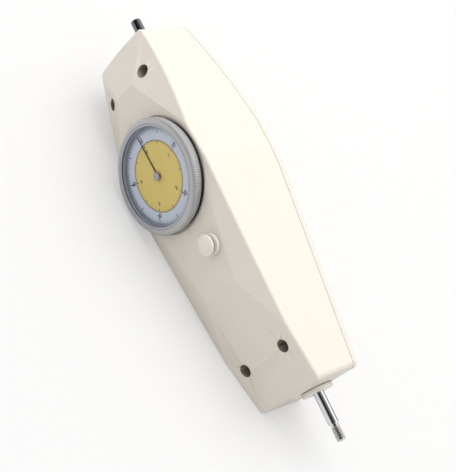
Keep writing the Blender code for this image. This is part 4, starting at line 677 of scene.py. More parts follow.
# Painted shade: a dark slate for the dial plate. It shows only in the margin outside the scale, where it stands
# for the shade under the bezel's inner wall
DIAL_MARGIN_PAINTED_SHADE = finish("dial_margin_painted_shade", (0.29, 0.32, 0.41), 0.5, 0.0, 0.05, 3.0, 0.12, 0.002)
SCALE_YELLOW = finish("scale_yellow", (0.74, 0.56, 0.13), 0.42, 0.0, 0.04, 2.5, 0.12, 0.002)
PRINT = finish("print_black", (0.035, 0.033, 0.045), 0.45, 0.0, 0.2, 0.8, 0.08, 0.002)
GLASS = crystal_finish()


# Housing form, as in the frame


def half_width(height):
    if height < WIDEST_HEIGHT:
        share = height / WIDEST_HEIGHT
        return BOTTOM_HALF_WIDTH + (DIAL_HALF_WIDTH - BOTTOM_HALF_WIDTH) * share
    share = (height - WIDEST_HEIGHT) / (HOUSING_LENGTH - WIDEST_HEIGHT)
    return DIAL_HALF_WIDTH - (DIAL_HALF_WIDTH - TOP_HALF_WIDTH) * share**TOP_CURVE_POWER


def sloped(start_depth, run, along, inset):
    """Depth of a facet that climbs from start_depth to the dial face over run, moved in by inset."""
    slope = (PLATEAU_DEPTH - start_depth) / run
    return start_depth + slope * along - inset * math.hypot(1.0, slope)


def bottom_facet(x, height, inset):
    return sloped(BOTTOM_FRONT_DEPTH, LOWER_SEGMENT_HEIGHT, height, inset)


def top_facet(x, height, inset):
    return sloped(TOP_FRONT_DEPTH, HOUSING_LENGTH - UPPER_SEGMENT_HEIGHT, HOUSING_LENGTH - height, inset)


def plane_through(first, second, third):
    """The depth function of a facet through three (x, depth, height) points."""
    first, second, third = Vector(first), Vector(second), Vector(third)
    normal = (second - first).cross(third - first)
    steep = normal.length / abs(normal.y)

    def depth(x, height, inset):
        fall = (normal.x * (x - first.x) + normal.z * (height - first.z)) / normal.y
        return first.y - fall - inset * steep

    return depth


def side_facets():
    kink = (half_width(KINK_HEIGHT), PLATEAU_DEPTH, KINK_HEIGHT)
    lower = (LOWER_SEGMENT_HALF_WIDTH, PLATEAU_DEPTH, LOWER_SEGMENT_HEIGHT)
    end_width = half_width(LOWER_FACET_END)
    lower_end = (end_width, bottom_facet(end_width, LOWER_FACET_END, 0.0), LOWER_FACET_END)
    upper = (UPPER_SEGMENT_HALF_WIDTH, PLATEAU_DEPTH, UPPER_SEGMENT_HEIGHT)
    corner = (TOP_HALF_WIDTH, TOP_FRONT_DEPTH, HOUSING_LENGTH)
    return plane_through(kink, lower, lower_end), plane_through(kink, upper, corner)


LOWER_SIDE_FACET, UPPER_SIDE_FACET = side_facets()


def front_depth(x, height, inset=0.0):
    side_facet = LOWER_SIDE_FACET if height < KINK_HEIGHT else UPPER_SIDE_FACET
    facets = (bottom_facet, top_facet, side_facet)
    return min(PLATEAU_DEPTH - inset, *(facet(abs(x), height, inset) for facet in facets))


def meeting(first, second, inset):
    """Place on the dial face, as (x, height), where two facets meet it, all of them moved in by inset."""
    slopes = []
    climbs = []
    for facet in (first, second):
        start = facet(0.0, 0.0, inset)
        slopes.append((facet(1.0, 0.0, inset) - start, facet(0.0, 1.0, inset) - start))
        climbs.append(PLATEAU_DEPTH - inset - start)
    return tuple(Matrix(slopes).inverted() @ Vector(climbs))


def back_depth(height):
    if height < PAD_START:
        share = height / PAD_START
        return BOTTOM_BACK_DEPTH + (PAD_BACK_DEPTH - BOTTOM_BACK_DEPTH) * share
    if height < PAD_END:
        return PAD_BACK_DEPTH
    share = (height - PAD_END) / (HOUSING_LENGTH - PAD_END)
    return PAD_BACK_DEPTH - (PAD_BACK_DEPTH - TOP_BACK_DEPTH) * share


def half_outline(inset, arc_steps, side_steps):
    """Points of (x, height) round the right half of the body as seen from the front, drawn in by inset."""
    points = [(0.0, inset)]
    radius = BOTTOM_CORNER_RADIUS - inset if BOTTOM_CORNER_RADIUS > inset else 0.0
    middle = half_width(BOTTOM_CORNER_RADIUS) - inset - radius
    for step in range(arc_steps + 1):
        angle = math.pi / 2 * (step / arc_steps - 1.0)
        points.append((middle + radius * math.cos(angle), inset + radius + radius * math.sin(angle)))
    for height in (LOWER_FACET_END, LOWER_SEGMENT_HEIGHT, PAD_START, WIDEST_HEIGHT, PAD_END, KINK_HEIGHT):
        points.append((half_width(height) - inset, height))
    top = HOUSING_LENGTH - TOP_CORNER_RADIUS
    for step in range(1, side_steps + 1):
        height = KINK_HEIGHT + (top - KINK_HEIGHT) * step / side_steps
        height = min(height, HOUSING_LENGTH - inset - TOP_CORNER_RADIUS / 2)
        points.append((half_width(height) - inset, height))
    corner = half_width(top) - inset - TOP_CORNER_RADIUS / 2
    points.append((corner, HOUSING_LENGTH - inset))
    points.append((0.0, HOUSING_LENGTH + TOP_BOW - inset))
    return points


def hull_mesh(shape):
    """The convex hull of the shape's points, with its flat faces whole."""
    weld(shape)
    hull = bmesh.ops.convex_hull(shape, input=shape.verts)
    spare = hull["geom_interior"] + hull["geom_unused"]
    loose = {item for item in spare if isinstance(item, bmesh.types.BMVert)}
    bmesh.ops.delete(shape, geom=list(loose), context="VERTS")
    bmesh.ops.dissolve_limit(shape, angle_limit=FLAT_ANGLE, verts=shape.verts, edges=shape.edges)
    return outward_mesh("hull", shape)


def housing_mesh(inset, arc_steps, side_steps, square_inset=0.0):
    """The faceted body as one convex solid, drawn in by inset.

    A square inset moves the facets in at right angles, and then it replaces the inset there.
    """
    shape = bmesh.new()
    fall = inset - square_inset
    ridge = [
        (half_width(KINK_HEIGHT) - inset, KINK_HEIGHT),
        meeting(UPPER_SIDE_FACET, top_facet, square_inset),
        meeting(LOWER_SIDE_FACET, bottom_facet, square_inset),
    ]
    for x, height in half_outline(inset, arc_steps, side_steps) + ridge:
        for side in (x, -x):
            limit = max(0.0, min(height, HOUSING_LENGTH))
            shape.verts.new((side, -(front_depth(side, limit, square_inset) - fall), height))
            shape.verts.new((side, back_depth(limit) - inset, height))
    return hull_mesh(shape)


def ball_points(radius):
    """Points all over a ball, its poles towards the dial and the back."""
    points = []
    around = 4 * EDGE_SEGMENTS
    for row in range(-EDGE_SEGMENTS, EDGE_SEGMENTS + 1):
        tilt = math.pi / 2 * row / EDGE_SEGMENTS
        across = radius * math.cos(tilt)
        for step in range(around):
            turn = math.tau * step / around
            points.append(Vector((across * math.cos(turn), radius * math.sin(tilt), across * math.sin(turn))))
    return points


def rounded_housing():
    """The hull of balls set on a smaller body's corners, which rounds each edge by the ball's radius."""
    core = housing_mesh(EDGE_ROUND, CORNER_ARC, SIDE_STEPS, EDGE_ROUND)
    shape = bmesh.new()
    ball = ball_points(EDGE_ROUND)
    for vert in core.vertices:
        for reach in ball:
            shape.verts.new(vert.co + reach)
    mesh = hull_mesh(shape)
    rebuilt(mesh, tidy_faces)
    return tool(mesh)


def housing_cutter(inset):
    return tool(housing_mesh(inset, CUTTER_ARC, CUTTER_SIDE_STEPS))


def parting_cutter(shift):
    """A prism behind the parting line, which follows the back at the lid's rim."""
    low_depth = back_depth(0.0) - LID_RIM + shift
    pad_depth = PAD_BACK_DEPTH - LID_RIM + shift
    high_depth = back_depth(HOUSING_LENGTH) - LID_RIM + shift
    top = HOUSING_LENGTH + TOP_BOW + OVERRUN
    far = PAD_BACK_DEPTH + 2 * OVERRUN
    outline = [(low_depth, -2 * OVERRUN), (low_depth, -OVERRUN), (pad_depth, PAD_START), (pad_depth, PAD_END)]
    outline += [(high_depth, top), (high_depth, top + OVERRUN), (far, top + OVERRUN), (far, -2 * OVERRUN)]
    reach = DIAL_HALF_WIDTH + 2 * OVERRUN
    shape = bmesh.new()
    low, high = ([shape.verts.new((x, *spot)) for spot in outline] for x in (-reach, reach))
    return tool(capped_mesh("parting_cutter", shape, [low, high]))


def well_floor(x, height):
    return front_depth(x, height) - WELL_DEPTH


def post_top(x, height):
    return well_floor(x, height) - WALL - GAP


def rim_weights(circles):
    """Marks the sharp front edges that lie on one of the (x, height, radius) circles."""

    def on_rim(spot, x, height, radius):
        off = abs(math.hypot(spot.x - x, spot.z - height) - radius)
        return off < RIM_ROUND / 2 and -spot.y > front_depth(x, height) - WELL_DEPTH / 3

    def mark(shape):
        layers = shape.edges.layers.float
        weight = layers.get("bevel_weight_edge") or layers.new("bevel_weight_edge")
        for edge in shape.edges:
            middle = (edge.verts[0].co + edge.verts[1].co) / 2
            sharp = len(edge.link_faces) == 2 and edge.calc_face_angle() >= EDGE_ANGLE
            front = -middle.y >= BOTTOM_FRONT_DEPTH - WALL
            marked = sharp and front and any(on_rim(middle, *circle) for circle in circles)
            edge[weight] = 1.0 if marked else 0.0

    return mark


def broad(mesh, face):
    spots = [mesh.vertices[index].co for index in face.vertices]
    longest = max((spot - before).length for spot, before in zip(spots, spots[-1:] + spots[:-1]))
    return face.area > BROAD * longest


def shade_faces(mesh):
    """Shades the broad facets flat, and the narrow faces of the roundings smooth between them."""
    mesh.shade_smooth()
    wide = [broad(mesh, face) for face in mesh.polygons]
    around = [[] for _ in mesh.vertices]
    for face in mesh.polygons:
        for index in face.vertices:
            around[index].append(face)
    normals = [None] * len(mesh.loops)
    for face in mesh.polygons:
        for corner in face.loop_indices:
            beside = around[mesh.loops[corner].vertex_index]
            same = [near for near in beside if near.normal.dot(face.normal) > math.cos(CURVE_STEP)]
            if not any(wide[near.index] for near in same):
                same = [near for near in beside if near.normal.dot(face.normal) > math.cos(SHARP)]
            total = sum((near.normal * near.area for near in same), Vector())
            normals[corner] = total.normalized() if total.length else face.normal
    mesh.normals_split_custom_set(normals)


def shaded(item, circles=()):
    """The mesh of a cut object, shaded, with the rims on the circles rounded."""
    rebuilt(item.data, tidy_faces)
    if circles:
        rebuilt(item.data, rim_weights(circles))
        bevel = item.modifiers.new("Rims", "BEVEL")
        bevel.width = RIM_ROUND
        bevel.segments = RIM_SEGMENTS
        bevel.limit_method = "WEIGHT"
    mesh = evaluated_mesh(item)
    bpy.data.objects.remove(item)
    shade_faces(mesh)
    return mesh


def make_front_housing():
    body = rounded_housing()
    hollow = housing_cutter(WALL)
    for place in SCREW_PLACES:
        cut(hollow, drill(POST_RADIUS, well_floor(*place) - WALL, BEZEL_FRONT, place))
    cut(body, hollow, parting_cutter(0.0))
    for place in SCREW_PLACES:
        floor = well_floor(*place)
        well = drill(WELL_RADIUS, floor, BEZEL_FRONT, place)
        hole = drill(SCREW_RADIUS + GAP, floor - WALL - GAP, floor + GAP, place)
        cut(body, well, hole)
    pocket = drill(POCKET_RADIUS, POCKET_FLOOR, BEZEL_FRONT, DIAL_PLACE, ROUND_STEPS)
    opening = drill(DIAL_OPENING, OPENING_BACK, POCKET_FLOOR + GAP, DIAL_PLACE, ROUND_STEPS)
    button_hole = drill(TUBE_HOLE, BUTTON_TUBE_BACK, BEZEL_FRONT, BUTTON_PLACE)
    rod_hole = drill(BUSH_RADIUS + GAP, -OVERRUN, WALL + GAP)
    top_end = HOUSING_LENGTH + TOP_BOW + OVERRUN
    tail_hole = drill(BUSH_RADIUS + GAP, HOUSING_LENGTH - WALL - OVERRUN, top_end)
    cut(body, pocket, opening, button_hole, rod_hole, tail_hole)
    for index in range(SEAT_SCREWS):
        angle = math.tau * index / SEAT_SCREWS
        place = (SEAT_SCREW_CIRCLE * math.sin(angle), DIAL_HEIGHT + SEAT_SCREW_CIRCLE * math.cos(angle))
        cut(body, drill(SMALL_SCREW_BORE, OPENING_BACK, BEZEL_FRONT, place))
    circles = [(*place, WELL_RADIUS) for place in SCREW_PLACES]
    mesh = shaded(body, circles + [(*DIAL_PLACE, POCKET_RADIUS)])
    # The faces inside the screw wells take the painted shade (material 1)
    for face in mesh.polygons:
        spot = face.center
        for x, height in SCREW_PLACES:
            inside = math.hypot(spot.x - x, spot.z - height) < WELL_RADIUS + MERGE
            if inside and well_floor(x, height) - MERGE < -spot.y < front_depth(x, height) + RIM_ROUND:
                face.material_index = 1
    piece("front_housing", mesh, "root", "ivory", IVORY, WELL_PAINTED_SHADE)


def make_rear_cover():
    body = rounded_housing()
    hollow = housing_cutter(WALL)
    beyond = -PAD_BACK_DEPTH - OVERRUN
    for place in SCREW_PLACES:
        cut(hollow, drill(POST_RADIUS, beyond, post_top(*place), place))
    for place in CHASSIS_SCREWS:
        cut(hollow, drill(CHASSIS_BOSS_RADIUS, beyond, -CHASSIS_BACK - GAP, place))
    for place in INSERT_PLACES:
        cut(hollow, drill(INSERT_BOSS_RADIUS, beyond, -PAD_BACK_DEPTH + INSERT_LENGTH + WALL, place))
    front_part = housing_cutter(-OVERRUN)
    cut(front_part, parting_cutter(GAP))
    for place in SCREW_PLACES:
        cut(front_part, drill(POST_RADIUS, -PAD_BACK_DEPTH, post_top(*place), place))
    cut(body, hollow, front_part)
    for place in SCREW_PLACES:
        top = post_top(*place)
        cut(body, drill(SCREW_RADIUS + GAP, top - SCREW_LENGTH, top + GAP, place))
    for place in CHASSIS_SCREWS:
        low = -CHASSIS_BACK - CHASSIS_SCREW_BORE_DEPTH
        cut(body, drill(SMALL_SCREW_BORE, low, -CHASSIS_BACK, place))
    for place in INSERT_PLACES:
        cut(body, drill(INSERT_RADIUS + GAP, beyond, -PAD_BACK_DEPTH + INSERT_LENGTH + GAP, place))
    piece("rear_cover", shaded(body), "root", "ivory", IVORY_LID)


def make_cover_screws():
    for number, (x, height) in enumerate(SCREW_PLACES, 1):
        floor = well_floor(x, height) + GAP
        top = floor + SCREW_HEAD_HEIGHT
        end = post_top(x, height) - SCREW_LENGTH + GAP
        corners = [
            (0.0, top),
            (SCREW_HEAD_RADIUS, top, SCREW_HEAD_HEIGHT / 2),
            (SCREW_HEAD_RADIUS, floor),
            (SCREW_RADIUS, floor),
            (SCREW_RADIUS, end),
            (0.0, end),
        ]
        screw = tool(turned(filleted(corners), SMALL_STEPS, (x, height)))
        slot = (SCREW_SLOT_LENGTH, SCREW_SLOT_WIDTH)
        for across, up in (slot, slot[::-1]):
            low = (x - across, -top - GAP, height - up)
            high = (x + across, -top + SCREW_SLOT_DEPTH, height + up)
            cut(screw, box_between(low, high))
        piece(f"cover_screw_{number}", shaded(screw), "root", "steel", SCREW_STEEL)


# Bushes and rods


def make_bushes():
    bore = ROD_RADIUS + GAP
    collar_high = -GAP
    corners = [
        (BUSH_RADIUS, FRONT_BUSH_TOP),
        (BUSH_RADIUS, collar_high),
        (FRONT_COLLAR_RADIUS, collar_high, BORE_ROUND),
        (FRONT_COLLAR_RADIUS, FRONT_COLLAR_LOW, COLLAR_ROUND),
        (bore, FRONT_COLLAR_LOW, BORE_ROUND),
        (bore, FRONT_BUSH_TOP),
    ]
    turned_piece("front_rod_bush", "root", "ivory_trim", IVORY_TRIM, corners)
    top = TAIL_COLLAR_LOW + TAIL_COLLAR_HEIGHT
    corners = [
        (TAIL_COLLAR_RADIUS, top, COLLAR_ROUND),
        (TAIL_COLLAR_RADIUS, TAIL_COLLAR_LOW, BORE_ROUND),
        (BUSH_RADIUS, TAIL_COLLAR_LOW),
        (BUSH_RADIUS, TAIL_TUBE_LOW),
        (bore, TAIL_TUBE_LOW),
        (bore, top, BORE_ROUND),
    ]
    turned_piece("tail_rod_bush", "root", "ivory_trim", IVORY_TRIM, corners)


def thread_radius(turn, height):
    """Radius of the screw thread at a share of a turn: a flat crest, a slope and a flat root."""
    fade = min(1.0, (THREAD_TOP - height) / THREAD_FADE)
    phase = (height / THREAD_PITCH - turn) % 1.0
    groove = min(1.0, max(0.0, THREAD_SLOPE * abs(2.0 * phase - 1.0) - THREAD_CREST))
    return THREAD_RADIUS - THREAD_DEPTH * (groove * fade + (1.0 - fade))


def thread_mesh():
    """A helical thread from the relief groove to the rod's end, closed by a chamfered tip."""
    shape = bmesh.new()
    rows = round((THREAD_TOP - ROD_END) / THREAD_PITCH * THREAD_ROWS)
    tip_start = ROD_END + ROD_CHAMFER
    rings = []
    for row in range(rows + 1):
        height = THREAD_TOP + (tip_start - THREAD_TOP) * row / rows
        radii = [thread_radius(step / SMALL_STEPS, height) for step in range(SMALL_STEPS)]
        rings.append(ring_points(shape, radii, height))
    tip_radius = THREAD_RADIUS - THREAD_DEPTH - ROD_CHAMFER
    rings.append(ring_points(shape, [tip_radius] * SMALL_STEPS, ROD_END))
    return capped_mesh("thread", shape, rings)


def make_rods():
    middle = ROD_JOINT_HEIGHT - GAP / 2
    corners = [
        (0.0, middle),
        (ROD_RADIUS, middle),
        (ROD_RADIUS, ROD_SHOULDER, ROD_CHAMFER),
        (RELIEF_RADIUS, ROD_SHOULDER),
        (RELIEF_RADIUS, THREAD_TOP),
        (0.0, THREAD_TOP),
    ]
    mesh = joined([(turned(filleted(corners)), 0), (thread_mesh(), 1)])
    piece("measuring_rod", mesh, "rod_train", "chrome", CHROME, THREAD_STEEL)
    middle = ROD_JOINT_HEIGHT + GAP / 2
    corners = [(0.0, TAIL_END), (ROD_RADIUS, TAIL_END, ROD_CHAMFER), (ROD_RADIUS, middle), (0.0, middle)]
    turned_piece("tail_rod", "rod_train", "dark_steel", DARK_STEEL, corners)


# Bezel, crystal, dial and pointer


def make_bezel():
    """A lip, a rounded front, a bulging knurled band, a neck, and grooves for the glass and the dial."""
    groove = DIAL_RADIUS + GAP
    lip_back = BEZEL_FRONT - BEZEL_LIP
    lip_front = BEZEL_FRONT - BEZEL_LIP / 4
    inner = BEZEL_OPENING + BEZEL_LIP_WIDTH
    profile = [
        (BEZEL_OPENING, lip_back + BEZEL_LIP / 4),
        (BEZEL_OPENING + BEZEL_LIP / 4, lip_front),
        (BEZEL_OPENING + BEZEL_LIP, BEZEL_FRONT),
        (inner - GAP, BEZEL_FRONT),
        (inner, BEZEL_FRONT - GAP / 3),
    ]
    width = BEZEL_SHOULDER_RADIUS - inner
    drop = BEZEL_FRONT - GAP / 3 - SHOULDER_DEPTH
    for step in range(1, FINE_ARC + 1):
        angle = math.pi / 2 * (1.0 - step / FINE_ARC)
        profile.append((inner + width * math.cos(angle), SHOULDER_DEPTH + drop * math.sin(angle)))
    crest = SHOULDER_DEPTH - (BEZEL_RADIUS - BEZEL_SHOULDER_RADIUS)
    knurled = range(len(profile), len(profile) + BARREL_STEPS + 1)
    for step in range(BARREL_STEPS + 1):
        share = step / BARREL_STEPS
        profile.append((BEZEL_RADIUS - BARREL_DROP * share**2, crest + (KNURL_BACK - crest) * share))
    profile += filleted(
        [
            (BEZEL_RADIUS - BARREL_DROP - KNURL_DEPTH / 2, KNURL_BACK - GAP / 2),
            (BEZEL_NECK_RADIUS + GAP / 3, BEZEL_NECK_TOP, GAP / 4),
            (BEZEL_NECK_RADIUS, BEZEL_NECK_TOP),
            (BEZEL_NECK_RADIUS, BEZEL_BASE),
            (BEZEL_BORE, BEZEL_BASE),
            (BEZEL_BORE, DIAL_BACK),
            (groove, DIAL_BACK),
            (groove, DIAL_FRONT + GAP),
            (BEZEL_OPENING, DIAL_FRONT + GAP),
            (BEZEL_OPENING, GASKET_BACK - GAP),
            (groove, GASKET_BACK - GAP),
            (groove, lip_back),
            (BEZEL_OPENING, lip_back),
        ]
    )

    def ripple(index, step):
        return KNURL_DEPTH * KNURL_WAVE[step % len(KNURL_WAVE)] if index in knurled else 0.0

    mesh = turned(profile, KNURL_RIDGES * len(KNURL_WAVE), DIAL_PLACE, ripple)
    for face in mesh.polygons:
        spot = face.center
        reach = math.hypot(spot.x, spot.z - DIAL_HEIGHT)
        # The bore and the grooves take the painted shade of the inner wall (material 1)
        if reach < groove + GAP and -spot.y < lip_front:
            face.material_index = 1
        # The neck's faces take the painted shadow (material 2)
        elif -spot.y < BEZEL_NECK_TOP + GAP / 4:
            face.material_index = 2
    piece("bezel", mesh, "bezel_group", "satin_aluminium", SATIN, BEZEL_INSIDE_PAINTED_SHADE, PAINTED_NECK_SHADOW)


def make_crystal():
    gasket_bore = BEZEL_OPENING + GASKET_GAP
    corners = [
        (CRYSTAL_RADIUS, CRYSTAL_BACK - GASKET_GAP),
        (CRYSTAL_RADIUS, GASKET_BACK),
        (gasket_bore, GASKET_BACK - GAP, GASKET_GAP),
        (gasket_bore, CRYSTAL_BACK - GASKET_GAP, GASKET_GAP),
    ]
    turned_piece("crystal_gasket", "bezel_group", "black_rubber", RUBBER, corners, WIDE_STEPS, DIAL_PLACE)
    corners = [
        (0.0, CRYSTAL_FRONT),
        (CRYSTAL_RADIUS, CRYSTAL_FRONT, GAP / 2),
        (CRYSTAL_RADIUS, CRYSTAL_BACK, GAP / 2),
        (0.0, CRYSTAL_BACK),
    ]
    turned_piece("crystal", "bezel_group", "crystal_glass", GLASS, corners, WIDE_STEPS, DIAL_PLACE)


def about_dial(turn):
    """A turn about the dial's axis, clockwise as the viewer sees it."""
    centre = Matrix.Translation((0.0, 0.0, DIAL_HEIGHT))
    return centre @ Matrix.Rotation(turn, 4, "Y") @ centre.inverted()


def printed(mesh, x, up):
    """Takes a flat shape drawn in its own XY to a place on the dial, facing the viewer."""
    mesh.transform(Matrix.Translation((x, up, INK_FRONT)))
    mesh.transform(Matrix.Translation((0.0, 0.0, DIAL_HEIGHT)) @ FACING)
    return mesh


def number_mesh(words, size):
    curve = bpy.data.curves.new("number", "FONT")
    curve.body = words
    curve.size = size
    curve.align_x = "CENTER"
    curve.align_y = "CENTER"
    curve.offset = size * NUMBER_BOLDNESS
    item = linked("number", curve)
    mesh = evaluated_mesh(item)
    bpy.data.objects.remove(item)
    bpy.data.curves.remove(curve)
    return mesh


def mark_mesh(turn, inner, outer, width):
    """A graduation between two radii, at an angle clockwise from the top."""
    mesh = printed(rectangle("mark", -width / 2, inner, width / 2, outer), 0.0, 0.0)
    mesh.transform(about_dial(turn))
    return mesh


def flat_ring(outer, inner, low, high):
    return turned([(outer, high), (outer, low), (inner, low), (inner, high)], WIDE_STEPS, DIAL_PLACE)


def make_dial():
    low = DIAL_FRONT - PRINT_RISE
    line_inner = SCALE_INNER - SCALE_LINE / 2
    parts = [
        # The plate takes the painted shade, which is seen in the margin outside the scale
        (flat_ring(DIAL_RADIUS, DIAL_BORE, DIAL_BACK, DIAL_FRONT), 0),
        (flat_ring(SCALE_OUTER, SCALE_INNER, low, DIAL_FRONT + PRINT_RISE), 1),
        (flat_ring(SCALE_INNER, DIAL_BORE, low, DIAL_FRONT + PRINT_RISE), 2),
        (flat_ring(line_inner + SCALE_LINE, line_inner, low, DIAL_FRONT + PRINT_RISE * 2), 3),
    ]
    for index in range(GRADUATIONS):
        turn = math.tau * index / GRADUATIONS
        length, width = next(sizes for every, *sizes in MARKS if index % every == 0)
        for outer, share in ((SCALE_OUTER, 1.0), (line_inner, INNER_MARK_SHARE)):
            parts.append((mark_mesh(turn, outer - length * share, outer, width), 3))
    for index in range(NUMBERS):
        turn = math.radians(NUMBER_TURN * index)
        for step, size, circle in NUMBER_ROWS:
            spot = (circle * math.sin(turn), circle * math.cos(turn))
            parts.append((printed(number_mesh(str(index * step), size), *spot), 3))
    looks = (DIAL_MARGIN_PAINTED_SHADE, SCALE_BLUE, SCALE_YELLOW, PRINT)
    piece("dial_plate", joined(parts), "bezel_group", "dial_face", *looks)


def make_pointer():
    """A tapering blade with a ridge along it, on a boss, and the cap over the arbor's end."""
    shape = bmesh.new()
    edge = POINTER_BACK + (POINTER_FRONT - POINTER_BACK) / 4
    ends = []
    for end, half in ((POINTER_BOSS * BLADE_START, POINTER_ROOT), (POINTER_LENGTH, POINTER_TIP)):
        across = (-half, -half, 0.0, half, half)
        depths = (POINTER_BACK, edge, POINTER_FRONT, edge, POINTER_BACK)
        height = DIAL_HEIGHT + end
        ends.append([shape.verts.new((x, -depth, height)) for x, depth in zip(across, depths)])
    blade = capped_mesh("blade", shape, ends)
    bore = ARBOR_BORE + GAP
    corners = [(POINTER_BOSS, POINTER_FRONT, GAP / 3), (POINTER_BOSS, DIAL_FRONT + GAP)]
    corners += [(bore, DIAL_FRONT + GAP), (bore, POINTER_FRONT)]
    boss = turned(filleted(corners), SMALL_STEPS, DIAL_PLACE)
    mesh = joined([(blade, 0), (boss, 0)])
    mesh.transform(about_dial(math.radians(-POINTER_TURN)))
    piece("pointer", mesh, "pointer_train", "black", POINTER_BLACK)
    corners = [
        (0.0, HUB_FRONT),
        (HUB_RADIUS, HUB_FRONT, HUB_ROUND),
        (HUB_RADIUS, HUB_BACK),
        (bore, HUB_BACK),
        (bore, ARBOR_END + GAP),
        (0.0, ARBOR_END + GAP),
    ]
    turned_piece("pointer_hub", "pointer_train", "chrome", HUB_METAL, corners, SMALL_STEPS, DIAL_PLACE)


def make_button():
    profile = []
    for step in range(FINE_ARC + 1):
        share = step / FINE_ARC
        profile.append(((CAP_RADIUS - CAP_CROWN) * share, CAP_FRONT - CAP_CROWN * share**2))
    corners = [
        (CAP_RADIUS - CAP_CROWN, CAP_FRONT - CAP_CROWN),
        (CAP_RADIUS, CAP_FRONT - CAP_CROWN * CAP_EDGE_DROP, GAP),
        (CAP_RADIUS, CAP_BACK, GAP),
        (NECK_RADIUS, CAP_BACK),
        (NECK_RADIUS, NECK_BACK),
        (NECK_BORE, NECK_BACK),
        (NECK_BORE, CAP_BACK),
        (STEM_BORE, CAP_BACK),
        (STEM_BORE, CAP_SOCKET),
        (0.0, CAP_SOCKET),
    ]
    cap = turned(profile + filleted(corners)[1:], place=BUTTON_PLACE)
    piece("button_cap", cap, "button", "ivory_trim", IVORY_TRIM)
    corners = [
        (BUTTON_COLLAR_RADIUS, BUTTON_COLLAR_FRONT, COLLAR_ROUND),
        (BUTTON_COLLAR_RADIUS, BUTTON_COLLAR_BACK),
        (BUTTON_TUBE_RADIUS, BUTTON_COLLAR_BACK),
        (BUTTON_TUBE_RADIUS, BUTTON_TUBE_BACK),
        (BUTTON_POCKET, BUTTON_TUBE_BACK),
        (BUTTON_POCKET, BUTTON_FLOOR_BACK),
        (STEM_BORE, BUTTON_FLOOR_BACK),
        (STEM_BORE, BUTTON_FLOOR_FRONT),
        (BUTTON_POCKET, BUTTON_FLOOR_FRONT),
        (BUTTON_POCKET, BUTTON_COLLAR_FRONT, BORE_ROUND),
    ]
    turned_piece("button_collar", "root", "ivory_trim", IVORY_TRIM, corners, place=BUTTON_PLACE)


# Each spring with the body that presses it and the direction from its seat
SPRINGS = (
    ("push_spring", "rod_train", (0.0, 0.0, 1.0)),
    ("pull_spring", "rod_train", (0.0, 0.0, -1.0)),
    ("button_spring", "button", (0.0, -1.0, 0.0)),
)


def make_springs():
    """Each spring is the frame's own wire, made to shorten between its seat and the body that presses it."""
    for name, body, way in SPRINGS:
        node = frame["nodes"][name]
        mesh = node.data.copy()
        mesh.transform(node.matrix_world)
        rebuilt(mesh, weld)
        smooth(mesh)
        mesh.materials.clear()
        mesh.materials.append(SPRING_STEEL)
        item = linked(name + "_fine", mesh)
        line = TO_ROW.to_3x3() @ Vector(way)
        reaches = [vert.co.dot(line) for vert in mesh.vertices]
        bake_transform(item, "root", body, line * min(reaches), line * max(reaches))
        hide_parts(name)


# The looks of the frame's own pieces that stay, by their slots
KEPT = dict(steel=STEEL, spring_steel=SPRING_STEEL, aluminium=ALUMINIUM, zinc_plate=ZINC, brass=BRASS)


def dress_frame():
    slots = {entry["node"]: entry["material_slot"] for entry in frame["record"]["subparts"]}
    for name, node in frame["nodes"].items():
        if node.hide_render:
            continue
        flat_brass = name.startswith("movement_") and name.endswith("plate")
        node.data.materials.clear()
        node.data.materials.append(BRASS_PLATE if flat_brass else KEPT[slots[name]])


# Studio


def make_floor():
    half = FLOOR_SIZE / 2
    mesh = rectangle("floor", -half, -half, half, half)
    paper = finish("floor_paper", (0.70, 0.695, 0.69), 0.75, 0.0, 0.004, 60.0, 0.8, 0.01, 0.03)
    tree = paper.node_tree
    white = add(tree, "ShaderNodeEmission", color=(FLOOR_WHITE, FLOOR_WHITE, FLOOR_WHITE, 1.0))
    seen = add(tree, "ShaderNodeLightPath").outputs["Is Camera Ray"]
    lift = mapped(tree, seen, to_max=FLOOR_LIFT)
    mixed_surface(tree, lift, tree.nodes["Principled BSDF"].outputs[0], white.outputs[0])
    mesh.materials.append(paper)
    linked("floor", mesh)


def make_lamp():
    lamp = bpy.data.lights.new("key", "AREA")
    lamp.shape = "DISK"
    lamp.size = KEY_SIZE
    lamp.energy = KEY_POWER
    item = linked("key", lamp)
    item.location = KEY_PLACE
    item.visible_glossy = False
    item.rotation_euler = (KEY_AIM - KEY_PLACE).to_track_quat("-Z", "Y").to_euler()


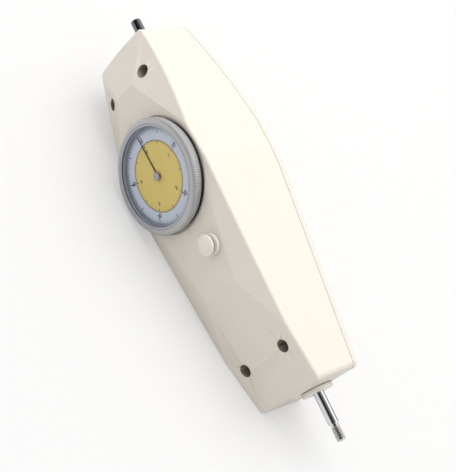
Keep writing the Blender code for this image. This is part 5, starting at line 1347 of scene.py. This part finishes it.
def make_world():
    """Soft light that varies a little across the sky, and bands of grey and white for the metal to mirror."""
    world = bpy.data.worlds.new("studio")
    bpy.context.scene.world = world
    world.use_nodes = True
    tree = world.node_tree
    place = add(tree, "ShaderNodeTexCoord").outputs["Generated"]
    split = add(tree, "ShaderNodeSeparateXYZ", vector=place).outputs
    soft = mapped(tree, split["Y"], from_min=-1.0, from_max=SKY_FADE_END, to_min=SKY_LOW, to_max=1.0)
    along = mapped(tree, split["X"], from_min=-1.0, to_min=SKY_TAIL_SIDE, to_max=SKY_ROD_SIDE)
    both = add(tree, "ShaderNodeMath", {0: soft, 1: along}, operation="MULTIPLY").outputs[0]
    bands = add(tree, "ShaderNodeValToRGB", {0: mapped(tree, split["Y"], from_min=-1.0)})
    stops = bands.color_ramp.elements
    stops.remove(stops[-1])
    stops[0].position = 0.0
    stops[0].color = (MIRROR_EDGE, MIRROR_EDGE, MIRROR_EDGE, 1.0)
    for spot, level in MIRROR_STOPS:
        stops.new((spot + 1.0) / 2).color = (level, level, level, 1.0)
    glossy = add(tree, "ShaderNodeLightPath").outputs["Is Glossy Ray"]
    background = tree.nodes["Background"]
    fill(tree, background.inputs["Color"], mixed_colour(tree, glossy, both, bands.outputs[0]))
    fill(tree, background.inputs["Strength"], SKY_LEVEL)


def make_camera():
    lens = bpy.data.cameras.new("camera")
    lens.sensor_fit = "HORIZONTAL"
    lens.sensor_width = SENSOR
    lens.lens = LENS
    item = linked("camera", lens)
    turn = TO_ROW.to_3x3()
    columns = (turn @ CAMERA_RIGHT, turn @ -CAMERA_DOWN, turn @ -CAMERA_FORWARD)
    basis = Matrix(columns).transposed().to_quaternion().to_matrix().to_4x4()
    item.matrix_world = Matrix.Translation(TO_ROW @ CAMERA_PLACE) @ basis
    bpy.context.scene.camera = item


make_front_housing()
make_rear_cover()
make_cover_screws()
make_bushes()
make_rods()
make_bezel()
make_crystal()
make_dial()
make_pointer()
make_button()
make_springs()
dress_frame()
make_floor()
make_lamp()
make_world()
make_camera()
bpy.context.scene.view_settings.view_transform = "Standard"
